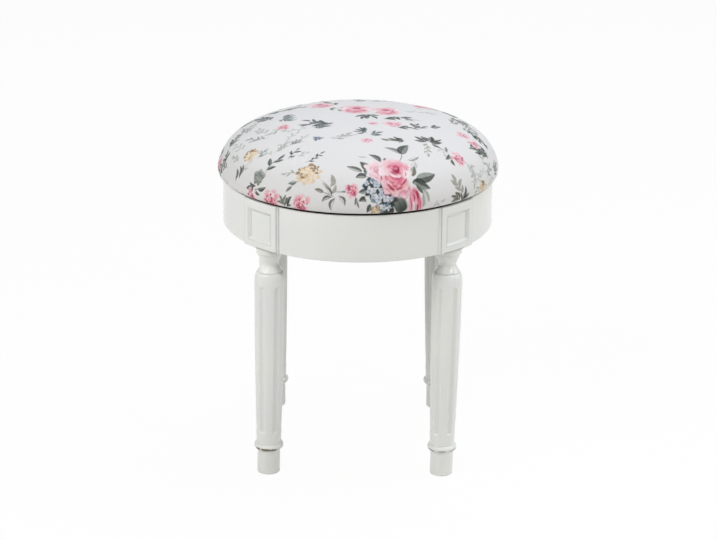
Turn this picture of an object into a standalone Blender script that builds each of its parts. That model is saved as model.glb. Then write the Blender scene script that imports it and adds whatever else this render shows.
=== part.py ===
# Round dressing stool: four turned and fluted legs, a round apron of curved rails and panelled leg
# blocks, and an upholstered seat held down by angle brackets. Metres, +Z up, front towards -Y,
# origin on the floor below the middle of the seat.

import math

import bmesh
import bpy
from mathutils import Matrix, Vector

# Gap left between pieces that touch on the real stool
CLEARANCE = 0.0003

# Apron: curved rails butted against four leg blocks
APRON_RADIUS = 0.190
APRON_HEIGHT = 0.067
APRON_UNDERSIDE = 0.338
RAIL_THICKNESS = 0.022
RAIL_EDGE_BEVEL = 0.0012
BLOCK_WIDTH = 0.063
BLOCK_PROUD = 0.0035
BLOCK_BACK_MARGIN = 0.004
PANEL_SIDE_MARGIN = 0.009
PANEL_END_MARGIN = 0.011
PANEL_BEVEL = 0.003
PANEL_DEPTH = 0.003

# Dowels, two in each butt joint
DOWEL_RADIUS = 0.004
DOWEL_DEPTH = 0.0125
DOWEL_SPACING = 0.036

# Leg, from the block down to the floor
COLLAR_REVEAL = 0.0018
COLLAR_RADIUS = 0.0188
COLLAR_BAND = 0.008
COLLAR_HEIGHT = 0.0185
COLLAR_FOOT_RADIUS = 0.0150
NECK_RADIUS = 0.0112
NECK_HEIGHT = 0.0075
NECK_FILLET = 0.0015
BEAD_RADIUS = 0.0150
BEAD_HEIGHT = 0.0075
QUIRK_DEPTH = 0.0012
QUIRK_HEIGHT = 0.0012
SHOULDER_HEIGHT = 0.0165
SHAFT_TOP_RADIUS = 0.0215
SHAFT_FOOT_RADIUS = 0.0179
RING_PROUD = 0.0043
RING_HEIGHT = 0.0105
FOOT_RADIUS = 0.0166
FOOT_HEIGHT = 0.0355
FOOT_BEVEL = 0.0012
FLUTE_COUNT = 6
FLUTE_WIDTH = 0.0086
FLUTE_DEPTH = 0.0019
FLUTE_TOP_MARGIN = 0.004
FLUTE_FOOT_MARGIN = 0.017

# Hanger bolt and its threaded insert, which hold each leg to its block
BOLT_RADIUS = 0.004
BOLT_IN_LEG = 0.038
BOLT_IN_BLOCK = 0.024
BOLT_POINT = 0.006
BOLT_CHAMFER = 0.0008
INSERT_WALL = 0.0022
INSERT_LENGTH = 0.022

# Angle brackets and their pan-head screws
BRACKET_WIDTH = 0.022
BRACKET_DROP = 0.028
BRACKET_REACH = 0.026
BRACKET_THICKNESS = 0.002
BRACKET_HOLE_INSET = 0.010
SCREW_LENGTH = 0.016
SCREW_RADIUS = 0.0019
SCREW_POINT = 0.004
SCREW_HEAD_RADIUS = 0.0040
SCREW_HEAD_RIM = 0.0012
SCREW_HEAD_CROWN_RADIUS = 0.0028
SCREW_HEAD_HEIGHT = 0.0024

# Upholstered seat, from the apron upwards
DUST_COVER_THICKNESS = 0.0018
DUST_COVER_INSET = 0.0015
COVER_THICKNESS = 0.0012
HEM_OVERLAP = 0.020
EDGE_DROP = 0.0035
EDGE_TUCK = 0.0085
CUSHION_OVERHANG = 0.0069
CROWN_HEIGHT = 0.0766
CROWN_FULLNESS = 2.73
BOARD_THICKNESS = 0.018
WADDING_THICKNESS = 0.008

# Facets of the round shapes, and how far a cutter runs past the face that it opens
LEG_STEPS = 24
MOULDING_ARC_STEPS = 4
FLUTE_ROD_STEPS = 16
CUSHION_STEPS = 40
CROWN_STEPS = 9
EDGE_ARC_STEPS = 3
SMALL_ROUND_STEPS = 10
RAIL_ARC_STEPS = 14
BLOCK_ARC_STEPS = 6
SMOOTH_ANGLE = math.radians(35)
WELD_DISTANCE = 0.000002
CUT_MARGIN = 0.002

# Places worked out from the sizes above
apron_top = APRON_UNDERSIDE + APRON_HEIGHT
apron_middle = APRON_UNDERSIDE + APRON_HEIGHT / 2
rail_inner_radius = APRON_RADIUS - RAIL_THICKNESS
block_face_radius = APRON_RADIUS + BLOCK_PROUD
block_half_angle = math.asin(BLOCK_WIDTH / 2 / block_face_radius)
dowel_length = 2 * DOWEL_DEPTH + CLEARANCE
leg_circle_radius = block_face_radius - COLLAR_REVEAL - COLLAR_RADIUS
block_back_radius = leg_circle_radius - COLLAR_RADIUS - BLOCK_BACK_MARGIN
leg_top = APRON_UNDERSIDE - CLEARANCE
collar_foot = leg_top - COLLAR_HEIGHT
neck_foot = collar_foot - NECK_FILLET - NECK_HEIGHT
bead_foot = neck_foot - BEAD_HEIGHT
shaft_top = bead_foot - QUIRK_HEIGHT - SHOULDER_HEIGHT
ring_top = FOOT_HEIGHT + RING_HEIGHT
bolt_bore_radius = BOLT_RADIUS + CLEARANCE
insert_radius = bolt_bore_radius + INSERT_WALL
dust_cover_bottom = apron_top + CLEARANCE
cover_bottom = dust_cover_bottom + DUST_COVER_THICKNESS + CLEARANCE
widest_height = cover_bottom + EDGE_DROP
cushion_radius = APRON_RADIUS + CUSHION_OVERHANG
board_bottom = cover_bottom + COVER_THICKNESS + CLEARANCE
board_top = board_bottom + BOARD_THICKNESS
wadding_inset = COVER_THICKNESS + CLEARANCE
foam_inset = wadding_inset + WADDING_THICKNESS + CLEARANCE
bracket_back = math.sqrt(rail_inner_radius ** 2 - (BRACKET_WIDTH / 2) ** 2) - CLEARANCE
rail_screw_height = apron_top - BRACKET_DROP + BRACKET_HOLE_INSET
rail_screw_seat = bracket_back - BRACKET_THICKNESS - CLEARANCE
seat_screw_radius = bracket_back - BRACKET_REACH + BRACKET_HOLE_INSET
seat_screw_seat = apron_top - BRACKET_THICKNESS - CLEARANCE

BLOCK_NAMES = {45: "back_right", 135: "back_left", 225: "front_left", 315: "front_right"}
RAIL_NAMES = {0: "right", 90: "back", 180: "left", 270: "front"}


for leftover in list(bpy.data.objects):
    bpy.data.objects.remove(leftover, do_unlink=True)

parts = bpy.data.collections.new("dressing_stool")
cutters = bpy.data.collections.new("dressing_stool_cutters")
bpy.context.scene.collection.children.link(parts)
bpy.context.scene.collection.children.link(cutters)
root = bpy.data.objects.new("stool_frame", None)
parts.objects.link(root)


def principled(name, colour, roughness, metallic=0.0):
    material = bpy.data.materials.new(name)
    material.use_nodes = True
    shader = material.node_tree.nodes["Principled BSDF"]
    shader.inputs["Base Color"].default_value = (*colour, 1.0)
    shader.inputs["Roughness"].default_value = roughness
    shader.inputs["Metallic"].default_value = metallic
    return material


cream_paint = principled("cream_paint", (0.74, 0.74, 0.70), 0.42)
beech = principled("beech", (0.55, 0.38, 0.22), 0.6)
zinc_steel = principled("zinc_steel", (0.62, 0.62, 0.60), 0.35, 1.0)
rose_cotton = principled("rose_cotton", (0.80, 0.79, 0.77), 0.9)
black_felt = principled("black_felt", (0.012, 0.012, 0.013), 0.95)
plywood = principled("plywood", (0.60, 0.45, 0.28), 0.7)
foam = principled("foam", (0.85, 0.80, 0.55), 0.95)
polyester_wadding = principled("polyester_wadding", (0.88, 0.88, 0.86), 0.95)


def working_object(name, data):
    worker = bpy.data.objects.new(name, data)
    worker.hide_render = True
    worker.display_type = "WIRE"
    cutters.objects.link(worker)
    return worker


def finished_mesh(worker):
    # Evaluates the object's modifiers or curve into a welded mesh and removes the object
    graph = bpy.context.evaluated_depsgraph_get()
    mesh = bpy.data.meshes.new_from_object(worker.evaluated_get(graph))
    mesh.transform(worker.matrix_world)
    bpy.data.objects.remove(worker, do_unlink=True)
    bm = bmesh.new()
    bm.from_mesh(mesh)
    bmesh.ops.remove_doubles(bm, verts=bm.verts, dist=WELD_DISTANCE)
    bm.to_mesh(mesh)
    bm.free()
    return mesh


def turned(name, profile, steps):
    # Revolves (radius, height) points, listed from the top down the outside, about the Z axis
    mesh = bpy.data.meshes.new(name)
    edges = [(i, i + 1) for i in range(len(profile) - 1)]
    mesh.from_pydata([(radius, 0.0, height) for radius, height in profile], edges, [])
    worker = working_object(name, mesh)
    screw = worker.modifiers.new("Turn", "SCREW")
    screw.axis = "Z"
    screw.steps = steps
    screw.render_steps = steps
    screw.use_merge_vertices = True
    screw.merge_threshold = WELD_DISTANCE
    return finished_mesh(worker)


def extruded(name, outline, thickness):
    # Fills a closed outline in the XY plane and gives it a thickness centred on that plane
    curve = bpy.data.curves.new(name, "CURVE")
    curve.dimensions = "2D"
    curve.fill_mode = "BOTH"
    curve.extrude = thickness / 2
    spline = curve.splines.new("POLY")
    spline.points.add(len(outline) - 1)
    for point, (x, y) in zip(spline.points, outline):
        point.co = (x, y, 0.0, 1.0)
    spline.use_cyclic_u = True
    return finished_mesh(working_object(name, curve))


def cylinder(name, radius, length, steps):
    # Solid cylinder along Z from the origin up
    mesh = bpy.data.meshes.new(name)
    bm = bmesh.new()
    lift = Matrix.Translation((0.0, 0.0, length / 2))
    bmesh.ops.create_cone(
        bm, cap_ends=True, segments=steps, radius1=radius, radius2=radius, depth=length, matrix=lift
    )
    bm.to_mesh(mesh)
    bm.free()
    return mesh


def joined(name, placed_meshes):
    # One mesh from (mesh, matrix) pairs that stay clear of each other
    bm = bmesh.new()
    for mesh, matrix in placed_meshes:
        copy = mesh.copy()
        copy.transform(matrix)
        bm.from_mesh(copy)
        bpy.data.meshes.remove(copy)
    merged = bpy.data.meshes.new(name)
    bm.to_mesh(merged)
    bm.free()
    return merged


def cut(name, mesh, *cutter_meshes):
    worker = working_object(name, mesh)
    tools = [working_object(name + "_cutter", cutter) for cutter in cutter_meshes]
    for tool in tools:
        boolean = worker.modifiers.new("Cut", "BOOLEAN")
        boolean.operation = "DIFFERENCE"
        boolean.solver = "EXACT"
        boolean.object = tool
    result = finished_mesh(worker)
    for tool in tools:
        bpy.data.objects.remove(tool, do_unlink=True)
    return result


def place(name, mesh, material, matrix=Matrix.Identity(4)):
    piece = bpy.data.objects.new(name, mesh)
    mesh.materials.clear()
    mesh.materials.append(material)
    mesh.shade_smooth()
    mesh.set_sharp_from_angle(angle=SMOOTH_ANGLE)
    parts.objects.link(piece)
    piece.parent = root
    piece.matrix_world = matrix
    return piece


def spin(degrees):
    return Matrix.Rotation(math.radians(degrees), 4, "Z")


def along(start, direction):
    # Matrix that puts a shape's own +Z along a direction, starting at a point
    turn = Vector(direction).to_track_quat("Z", "Y").to_matrix().to_4x4()
    return Matrix.Translation(start) @ turn


def ellipse_arc(centre, reach_r, reach_z, start, end, steps):
    # Points of an elliptical arc in the profile plane, angles in degrees from +R towards +Z
    points = []
    for i in range(steps + 1):
        angle = math.radians(start + (end - start) * i / steps)
        points.append((centre[0] + reach_r * math.cos(angle), centre[1] + reach_z * math.sin(angle)))
    return points


def polar(radius, angle):
    return (radius * math.cos(angle), radius * math.sin(angle))


def ring_sector(outer_radius, inner_radius, half_angle, steps):
    # Outline of a ring sector centred on +X
    angles = [-half_angle + 2 * half_angle * i / steps for i in range(steps + 1)]
    outer = [polar(outer_radius, angle) for angle in angles]
    inner = [polar(inner_radius, angle) for angle in reversed(angles)]
    return outer + inner


def dowel_matrices(side):
    # Both dowels of the joint plane at one side (+1 or -1) of a block centred on +X, pointing into
    # the rail: half of each dowel lies in the block
    angle = side * block_half_angle
    tangent = Vector((-math.sin(angle), math.cos(angle), 0.0)) * side
    middle = Vector((*polar(APRON_RADIUS - RAIL_THICKNESS / 2, angle), apron_middle))
    start = middle - tangent * DOWEL_DEPTH
    offsets = (-DOWEL_SPACING / 2, DOWEL_SPACING / 2)
    return [along(start + Vector((0.0, 0.0, offset)), tangent) for offset in offsets]


def dowel_holes(block_spin):
    # Placed cutters for the dowels at both sides of a block
    bore = cylinder("dowel_bore", DOWEL_RADIUS + CLEARANCE, dowel_length + 2 * CLEARANCE, SMALL_ROUND_STEPS)
    slack = Matrix.Translation((0.0, 0.0, -CLEARANCE))
    return [(bore, block_spin @ matrix @ slack) for side in (-1, 1) for matrix in dowel_matrices(side)]


# Curved rails
def rail_mesh():
    end_gap = CLEARANCE / rail_inner_radius
    half_angle = math.pi / 4 - block_half_angle - end_gap
    blank = extruded(
        "rail_blank", ring_sector(APRON_RADIUS, rail_inner_radius, half_angle, RAIL_ARC_STEPS), APRON_HEIGHT
    )
    blank.transform(Matrix.Translation((0.0, 0.0, apron_middle)))
    worker = working_object("rail_bevelled", blank)
    weights = blank.attributes.new("bevel_weight_edge", "FLOAT", "EDGE")
    middle_radius = APRON_RADIUS - RAIL_THICKNESS / 2
    for edge in blank.edges:
        ends = [blank.vertices[i].co for i in edge.vertices]
        is_level = abs(ends[0].z - ends[1].z) < RAIL_EDGE_BEVEL
        is_outer = all(co.xy.length > middle_radius for co in ends)
        weights.data[edge.index].value = float(is_level and is_outer)
    bevel = worker.modifiers.new("Edge", "BEVEL")
    bevel.width = RAIL_EDGE_BEVEL
    bevel.segments = 1
    bevel.limit_method = "WEIGHT"
    holes = dowel_holes(spin(45)) + dowel_holes(spin(-45))
    pilot = cylinder("pilot", SCREW_RADIUS + CLEARANCE, SCREW_LENGTH + CLEARANCE, SMALL_ROUND_STEPS)
    holes.append((pilot, along((rail_screw_seat, 0.0, rail_screw_height), (1.0, 0.0, 0.0))))
    return cut("rail", finished_mesh(worker), joined("rail_holes", holes))


# Leg blocks with a sunk, bevel-edged panel in the face
def panel_cutter():
    # A tapered pad bent to the block's curve: its inner end is the floor of the panel
    bm = bmesh.new()
    bmesh.ops.create_cube(bm, size=2.0)
    across = [edge for edge in bm.edges if abs(edge.verts[0].co.y - edge.verts[1].co.y) > 1.0]
    bmesh.ops.subdivide_edges(bm, edges=across, cuts=BLOCK_ARC_STEPS - 1)
    slope = PANEL_BEVEL / PANEL_DEPTH
    for vert in bm.verts:
        rise = PANEL_DEPTH + CUT_MARGIN if vert.co.x > 0.0 else 0.0
        spread = slope * rise - PANEL_BEVEL
        half_width = BLOCK_WIDTH / 2 - PANEL_SIDE_MARGIN + spread
        half_height = APRON_HEIGHT / 2 - PANEL_END_MARGIN + spread
        angle = vert.co.y * half_width / block_face_radius
        radius = block_face_radius - PANEL_DEPTH + rise
        vert.co = (*polar(radius, angle), apron_middle + vert.co.z * half_height)
    mesh = bpy.data.meshes.new("panel_cutter")
    bm.to_mesh(mesh)
    bm.free()
    return mesh


def block_mesh():
    angles = [block_half_angle * (2 * i / BLOCK_ARC_STEPS - 1) for i in range(BLOCK_ARC_STEPS + 1)]
    outline = [polar(block_face_radius, angle) for angle in angles]
    outline += [polar(block_back_radius, block_half_angle), polar(block_back_radius, -block_half_angle)]
    blank = extruded("block_blank", outline, APRON_HEIGHT)
    blank.transform(Matrix.Translation((0.0, 0.0, apron_middle)))
    depth = max(INSERT_LENGTH, BOLT_IN_BLOCK) + CLEARANCE + CUT_MARGIN
    bore = cylinder("insert_bore", insert_radius + CLEARANCE, depth, SMALL_ROUND_STEPS)
    holes = dowel_holes(Matrix.Identity(4))
    holes.append((bore, Matrix.Translation((leg_circle_radius, 0.0, APRON_UNDERSIDE - CUT_MARGIN))))
    return cut("block", blank, joined("block_holes", holes), panel_cutter())


# Turned legs, cut with round-ended flutes
def leg_profile():
    bead_reach = BEAD_RADIUS - NECK_RADIUS
    quirk_radius = BEAD_RADIUS - QUIRK_DEPTH
    profile = [
        (0.0, leg_top),
        (COLLAR_RADIUS, leg_top),
        (COLLAR_RADIUS, leg_top - COLLAR_BAND),
        (COLLAR_FOOT_RADIUS, collar_foot),
    ]
    fillet_centre = (NECK_RADIUS + NECK_FILLET, collar_foot - NECK_FILLET)
    profile += ellipse_arc(fillet_centre, NECK_FILLET, NECK_FILLET, 90, 180, MOULDING_ARC_STEPS // 2)
    profile += ellipse_arc((NECK_RADIUS, bead_foot), bead_reach, BEAD_HEIGHT, 90, 0, MOULDING_ARC_STEPS - 1)
    profile.append((quirk_radius, bead_foot - QUIRK_HEIGHT / 2))
    shoulder_reach = SHAFT_TOP_RADIUS - BEAD_RADIUS
    shoulder_centre = (BEAD_RADIUS, shaft_top)
    profile += ellipse_arc(shoulder_centre, shoulder_reach, SHOULDER_HEIGHT, 90, 0, MOULDING_ARC_STEPS)
    profile.append((SHAFT_FOOT_RADIUS, ring_top))
    ring_centre = (FOOT_RADIUS, FOOT_HEIGHT + RING_HEIGHT / 2)
    profile += ellipse_arc(ring_centre, RING_PROUD, RING_HEIGHT / 2, 60, -60, MOULDING_ARC_STEPS)
    profile += [
        (FOOT_RADIUS, FOOT_HEIGHT),
        (FOOT_RADIUS, FOOT_BEVEL),
        (FOOT_RADIUS - FOOT_BEVEL, 0.0),
        (0.0, 0.0),
    ]
    return profile


def flute_cutters():
    # Round-ended rods laid along the tapering shaft, sunk by the flute's depth
    rod_radius = (FLUTE_WIDTH ** 2 / 4 + FLUTE_DEPTH ** 2) / (2 * FLUTE_DEPTH)
    taper = (SHAFT_TOP_RADIUS - SHAFT_FOOT_RADIUS) / (shaft_top - ring_top)
    upper = shaft_top - FLUTE_TOP_MARGIN - FLUTE_WIDTH / 2
    lower = ring_top + FLUTE_FOOT_MARGIN + FLUTE_WIDTH / 2
    stand_off = rod_radius - FLUTE_DEPTH
    upper_point = Vector((SHAFT_TOP_RADIUS - taper * (shaft_top - upper) + stand_off, 0.0, upper))
    lower_point = Vector((SHAFT_TOP_RADIUS - taper * (shaft_top - lower) + stand_off, 0.0, lower))
    length = (upper_point - lower_point).length
    profile = ellipse_arc((0.0, length), rod_radius, rod_radius, 90, 0, MOULDING_ARC_STEPS)
    profile += ellipse_arc((0.0, 0.0), rod_radius, rod_radius, 0, -90, MOULDING_ARC_STEPS)
    profile[0] = (0.0, length + rod_radius)
    profile[-1] = (0.0, -rod_radius)
    rod = turned("flute_rod", profile, FLUTE_ROD_STEPS)
    lay = along(lower_point, upper_point - lower_point)
    step = 360 / FLUTE_COUNT
    return joined("flutes", [(rod, spin(step * (i + 0.5) - 90) @ lay) for i in range(FLUTE_COUNT)])


def leg_mesh():
    bore_depth = BOLT_IN_LEG + CLEARANCE + CUT_MARGIN
    bolt_bore = cylinder("bolt_bore", bolt_bore_radius, bore_depth, SMALL_ROUND_STEPS)
    bolt_bore.transform(Matrix.Translation((0.0, 0.0, leg_top - BOLT_IN_LEG - CLEARANCE)))
    return cut("leg", turned("leg_blank", leg_profile(), LEG_STEPS), flute_cutters(), bolt_bore)


def bolt_mesh():
    top = APRON_UNDERSIDE + BOLT_IN_BLOCK
    tip = leg_top - BOLT_IN_LEG
    profile = [
        (0.0, top),
        (BOLT_RADIUS - BOLT_CHAMFER, top),
        (BOLT_RADIUS, top - BOLT_CHAMFER),
        (BOLT_RADIUS, tip + BOLT_POINT),
        (0.0, tip),
    ]
    return turned("hanger_bolt", profile, SMALL_ROUND_STEPS)


def insert_mesh():
    top = APRON_UNDERSIDE + INSERT_LENGTH
    profile = [
        (bolt_bore_radius, top),
        (insert_radius, top),
        (insert_radius, APRON_UNDERSIDE),
        (bolt_bore_radius, APRON_UNDERSIDE),
        (bolt_bore_radius, top),
    ]
    return turned("leg_insert", profile, SMALL_ROUND_STEPS)


# Seat fixings
def bracket_mesh():
    front = bracket_back - BRACKET_REACH
    outline = [
        (bracket_back, apron_top),
        (front, apron_top),
        (front, apron_top - BRACKET_THICKNESS),
        (bracket_back - BRACKET_THICKNESS, apron_top - BRACKET_THICKNESS),
        (bracket_back - BRACKET_THICKNESS, apron_top - BRACKET_DROP),
        (bracket_back, apron_top - BRACKET_DROP),
    ]
    blank = extruded("bracket_blank", outline, BRACKET_WIDTH)
    blank.transform(Matrix.Rotation(math.pi / 2, 4, "X"))
    hole = cylinder(
        "bracket_hole", SCREW_RADIUS + CLEARANCE, BRACKET_THICKNESS + 2 * CUT_MARGIN, SMALL_ROUND_STEPS
    )
    rail_hole_start = bracket_back - BRACKET_THICKNESS - CUT_MARGIN
    seat_hole_start = apron_top - BRACKET_THICKNESS - CUT_MARGIN
    holes = [
        (hole, along((rail_hole_start, 0.0, rail_screw_height), (1.0, 0.0, 0.0))),
        (hole, Matrix.Translation((seat_screw_radius, 0.0, seat_hole_start))),
    ]
    return cut("bracket", blank, joined("bracket_holes", holes))


def screw_mesh():
    # Pan-head screw along +Z: its head lies below the seat plane at the origin
    profile = [
        (0.0, SCREW_LENGTH),
        (SCREW_RADIUS, SCREW_LENGTH - SCREW_POINT),
        (SCREW_RADIUS, 0.0),
        (SCREW_HEAD_RADIUS, 0.0),
        (SCREW_HEAD_RADIUS, -SCREW_HEAD_RIM),
        (SCREW_HEAD_CROWN_RADIUS, -SCREW_HEAD_HEIGHT),
        (0.0, -SCREW_HEAD_HEIGHT),
    ]
    return turned("pan_head_screw", profile, SMALL_ROUND_STEPS)


# Upholstered seat: nested layers of one crowned, drawn-in form
def crown(inset):
    # Superellipse from the middle of the crown out to the widest line, set in by a distance
    points = []
    for i in range(CROWN_STEPS + 1):
        angle = math.pi / 2 * (1 - i / CROWN_STEPS)
        reach = abs(math.cos(angle)) ** (2 / CROWN_FULLNESS) if i else 0.0
        rise = math.sin(angle) ** (2 / CROWN_FULLNESS)
        points.append(((cushion_radius - inset) * reach, widest_height + (CROWN_HEIGHT - inset) * rise))
    return points


def radius_at(points, height):
    # Radius of a profile, listed from the top down, at one height
    for (upper_r, upper_z), (lower_r, lower_z) in zip(points, points[1:]):
        if lower_z <= height <= upper_z:
            return upper_r + (lower_r - upper_r) * (upper_z - height) / (upper_z - lower_z)
    return points[-1][0]


def cover_side(inset):
    # One face of the cover: over the crown, round the drawn-in edge and under the board
    edge_centre = (cushion_radius - EDGE_TUCK, widest_height)
    edge = ellipse_arc(edge_centre, EDGE_TUCK - inset, EDGE_DROP - inset, 0, -90, EDGE_ARC_STEPS)
    return crown(inset) + edge[1:] + [(APRON_RADIUS - HEM_OVERLAP, cover_bottom + inset)]


def cover_mesh():
    return turned("cover", cover_side(0.0) + cover_side(COVER_THICKNESS)[::-1], CUSHION_STEPS)


def wadding_mesh():
    profile = crown(wadding_inset) + crown(wadding_inset + WADDING_THICKNESS)[::-1]
    return turned("wadding", profile, CUSHION_STEPS)


def foam_mesh():
    bottom = board_top + CLEARANCE
    side = crown(foam_inset)
    profile = [point for point in side if point[1] > bottom]
    profile += [(radius_at(side, bottom), bottom), (0.0, bottom)]
    return turned("foam", profile, CUSHION_STEPS)


def seat_screw_holes(bottom, depth):
    hole = cylinder("seat_screw_hole", SCREW_RADIUS + CLEARANCE, depth, SMALL_ROUND_STEPS)
    spot = Matrix.Translation((seat_screw_radius, 0.0, bottom))
    return joined("seat_screw_holes", [(hole, spin(degrees) @ spot) for degrees in RAIL_NAMES])


def board_mesh():
    radius = radius_at(crown(foam_inset), board_top)
    profile = [(0.0, board_top), (radius, board_top), (radius, board_bottom), (0.0, board_bottom)]
    pilot_depth = seat_screw_seat + SCREW_LENGTH + CLEARANCE - board_bottom + CUT_MARGIN
    holes = seat_screw_holes(board_bottom - CUT_MARGIN, pilot_depth)
    return cut("board", turned("board_blank", profile, CUSHION_STEPS), holes)


def dust_cover_mesh():
    radius = APRON_RADIUS - DUST_COVER_INSET
    top = dust_cover_bottom + DUST_COVER_THICKNESS
    profile = [(0.0, top), (radius, top), (radius, dust_cover_bottom), (0.0, dust_cover_bottom)]
    holes = seat_screw_holes(dust_cover_bottom - CUT_MARGIN, DUST_COVER_THICKNESS + 2 * CUT_MARGIN)
    return cut("dust_cover", turned("dust_cover_blank", profile, CUSHION_STEPS), holes)


# Assembly
leg = leg_mesh()
bolt = bolt_mesh()
insert = insert_mesh()
block = block_mesh()
dowel = cylinder("dowel", DOWEL_RADIUS, dowel_length, SMALL_ROUND_STEPS)
for degrees, corner in BLOCK_NAMES.items():
    axis = Matrix.Translation((*polar(leg_circle_radius, math.radians(degrees)), 0.0))
    place("leg_" + corner, leg, cream_paint, axis)
    place("hanger_bolt_" + corner, bolt, zinc_steel, axis)
    place("leg_insert_" + corner, insert, zinc_steel, axis)
    place("leg_block_" + corner, block, cream_paint, spin(degrees))
    for side, hand in ((-1, "a"), (1, "b")):
        for matrix, level in zip(dowel_matrices(side), ("lower", "upper")):
            place("dowel_" + corner + "_" + hand + "_" + level, dowel, beech, spin(degrees) @ matrix)

rail = rail_mesh()
bracket = bracket_mesh()
screw = screw_mesh()
rail_screw_place = along((rail_screw_seat, 0.0, rail_screw_height), (1.0, 0.0, 0.0))
seat_screw_place = Matrix.Translation((seat_screw_radius, 0.0, seat_screw_seat))
for degrees, side_name in RAIL_NAMES.items():
    place("apron_rail_" + side_name, rail, cream_paint, spin(degrees))
    place("seat_bracket_" + side_name, bracket, zinc_steel, spin(degrees))
    place("rail_screw_" + side_name, screw, zinc_steel, spin(degrees) @ rail_screw_place)
    place("seat_screw_" + side_name, screw, zinc_steel, spin(degrees) @ seat_screw_place)

place("dust_cover", dust_cover_mesh(), black_felt)
place("seat_board", board_mesh(), plywood)
place("foam_pad", foam_mesh(), foam)
place("wadding", wadding_mesh(), polyester_wadding)
place("seat_cover", cover_mesh(), rose_cotton)
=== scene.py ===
import math

import bmesh
import bpy
import numpy as np
from mathutils import Matrix, Quaternion, Vector


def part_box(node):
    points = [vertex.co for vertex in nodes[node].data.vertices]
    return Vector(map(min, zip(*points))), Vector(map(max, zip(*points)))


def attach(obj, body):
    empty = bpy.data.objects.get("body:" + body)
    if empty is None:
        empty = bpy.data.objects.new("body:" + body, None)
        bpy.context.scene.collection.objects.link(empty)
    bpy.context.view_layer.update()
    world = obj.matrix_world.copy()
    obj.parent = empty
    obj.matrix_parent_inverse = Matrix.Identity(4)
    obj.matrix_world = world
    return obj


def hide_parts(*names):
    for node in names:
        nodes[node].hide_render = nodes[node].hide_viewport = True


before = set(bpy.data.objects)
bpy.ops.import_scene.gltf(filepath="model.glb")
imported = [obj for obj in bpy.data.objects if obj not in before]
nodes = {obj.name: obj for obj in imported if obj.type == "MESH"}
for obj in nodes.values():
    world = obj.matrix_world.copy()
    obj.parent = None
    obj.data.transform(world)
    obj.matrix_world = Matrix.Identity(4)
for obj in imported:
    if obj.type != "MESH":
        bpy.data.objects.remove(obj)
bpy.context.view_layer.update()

corners = {"front_left": 225.0, "front_right": 315.0, "back_left": 135.0, "back_right": 45.0}  # degrees
sides = {"front": 270.0, "right": 0.0, "back": 90.0, "left": 180.0}
railLow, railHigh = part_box("apron_rail_front")
coverLow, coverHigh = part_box("seat_cover")
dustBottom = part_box("dust_cover")[0].z
apronRadius, apronBottom, apronTop = -railLow.y, railLow.z, railHigh.z
print("frame loaded:", len(nodes), "nodes, apron radius", round(apronRadius, 4))


# node trees: arithmetic on sockets, for shaders and for geometry
class Wire:
    def __init__(self, tree, socket=None):
        self.tree = tree
        self.socket = socket

    def node(self, kind, settings=None, sockets=None, out=0):
        made = self.tree.nodes.new(kind)
        for name, value in (settings or {}).items():
            setattr(made, name, value)
        for name, value in (sockets or {}).items():
            if isinstance(value, Wire):
                self.tree.links.new(value.socket, made.inputs[name])
            else:
                made.inputs[name].default_value = value
        return Wire(self.tree, made.outputs[out]) if made.outputs else made

    def output(self, name):  # another output of the same node
        return Wire(self.tree, self.socket.node.outputs[name])

    def maths(self, operation, *values):
        return self.node("ShaderNodeMath", {"operation": operation}, dict(enumerate(values)))

    def __add__(self, other):
        return self.maths("ADD", self, other)

    def __radd__(self, other):
        return self.maths("ADD", other, self)

    def __sub__(self, other):
        return self.maths("SUBTRACT", self, other)

    def __rsub__(self, other):
        return self.maths("SUBTRACT", other, self)

    def __mul__(self, other):
        return self.maths("MULTIPLY", self, other)

    def __rmul__(self, other):
        return self.maths("MULTIPLY", other, self)

    def __truediv__(self, other):
        return self.maths("DIVIDE", self, other)

    def __rtruediv__(self, other):
        return self.maths("DIVIDE", other, self)

    def atLeast(self, floor):
        return self.maths("MAXIMUM", self, floor)

    def between(self, low, high):  # 0 below low, 1 above high, smooth between
        settings = {"interpolation_type": "SMOOTHSTEP"}
        return self.node("ShaderNodeMapRange", settings, {"Value": self, "From Min": low, "From Max": high})

    def tint(self, base, over, blend="MIX"):  # this value is how much of the second colour shows
        settings = {"data_type": "RGBA", "blend_type": blend}
        return self.node("ShaderNodeMix", settings, {0: self, 6: base, 7: over}, out=2)


def newMaterial(name):
    material = bpy.data.materials.new(name)
    material.use_nodes = True
    material.node_tree.nodes.clear()
    return material, Wire(material.node_tree)


def surface(wire, sockets):  # Principled shader and the material's output
    shader = wire.node("ShaderNodeBsdfPrincipled", None, sockets)
    wire.node("ShaderNodeOutputMaterial", None, {"Surface": shader})


def objectPlace(wire):
    return wire.node("ShaderNodeTexCoord", out="Object")


def noise(wire, where, scale, detail=3.0, rough=0.5):
    sockets = {"Vector": where, "Scale": scale, "Detail": detail, "Roughness": rough}
    return wire.node("ShaderNodeTexNoise", None, sockets)


def stretched(wire, where, scale):
    return wire.node("ShaderNodeMapping", {"vector_type": "POINT"}, {"Vector": where, "Scale": scale})


def bump(wire, height, distance, strength=0.5):
    return wire.node("ShaderNodeBump", None, {"Height": height, "Distance": distance, "Strength": strength})


# brushed cream lacquer on the turned and sawn wood
paint = {
    "cream": (0.846, 0.857, 0.824, 1.0),
    "cool": (0.822, 0.838, 0.82, 1.0),
    # dull olive tone of the painted shade and grime in hollows, joints and panel lines
    "grimeAndShade": (0.36, 0.355, 0.29, 1.0),
    "bareWood": (0.2, 0.142, 0.112, 1.0),
    "roughness": 0.17,
    "strokes": (45.0, 1500.0, 1.0),  # noise cells per metre along and across a brush stroke
    "clouds": 14.0,
    "patches": 130.0,
    "speckles": 320.0,
    "relief": 0.00003,
}


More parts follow.
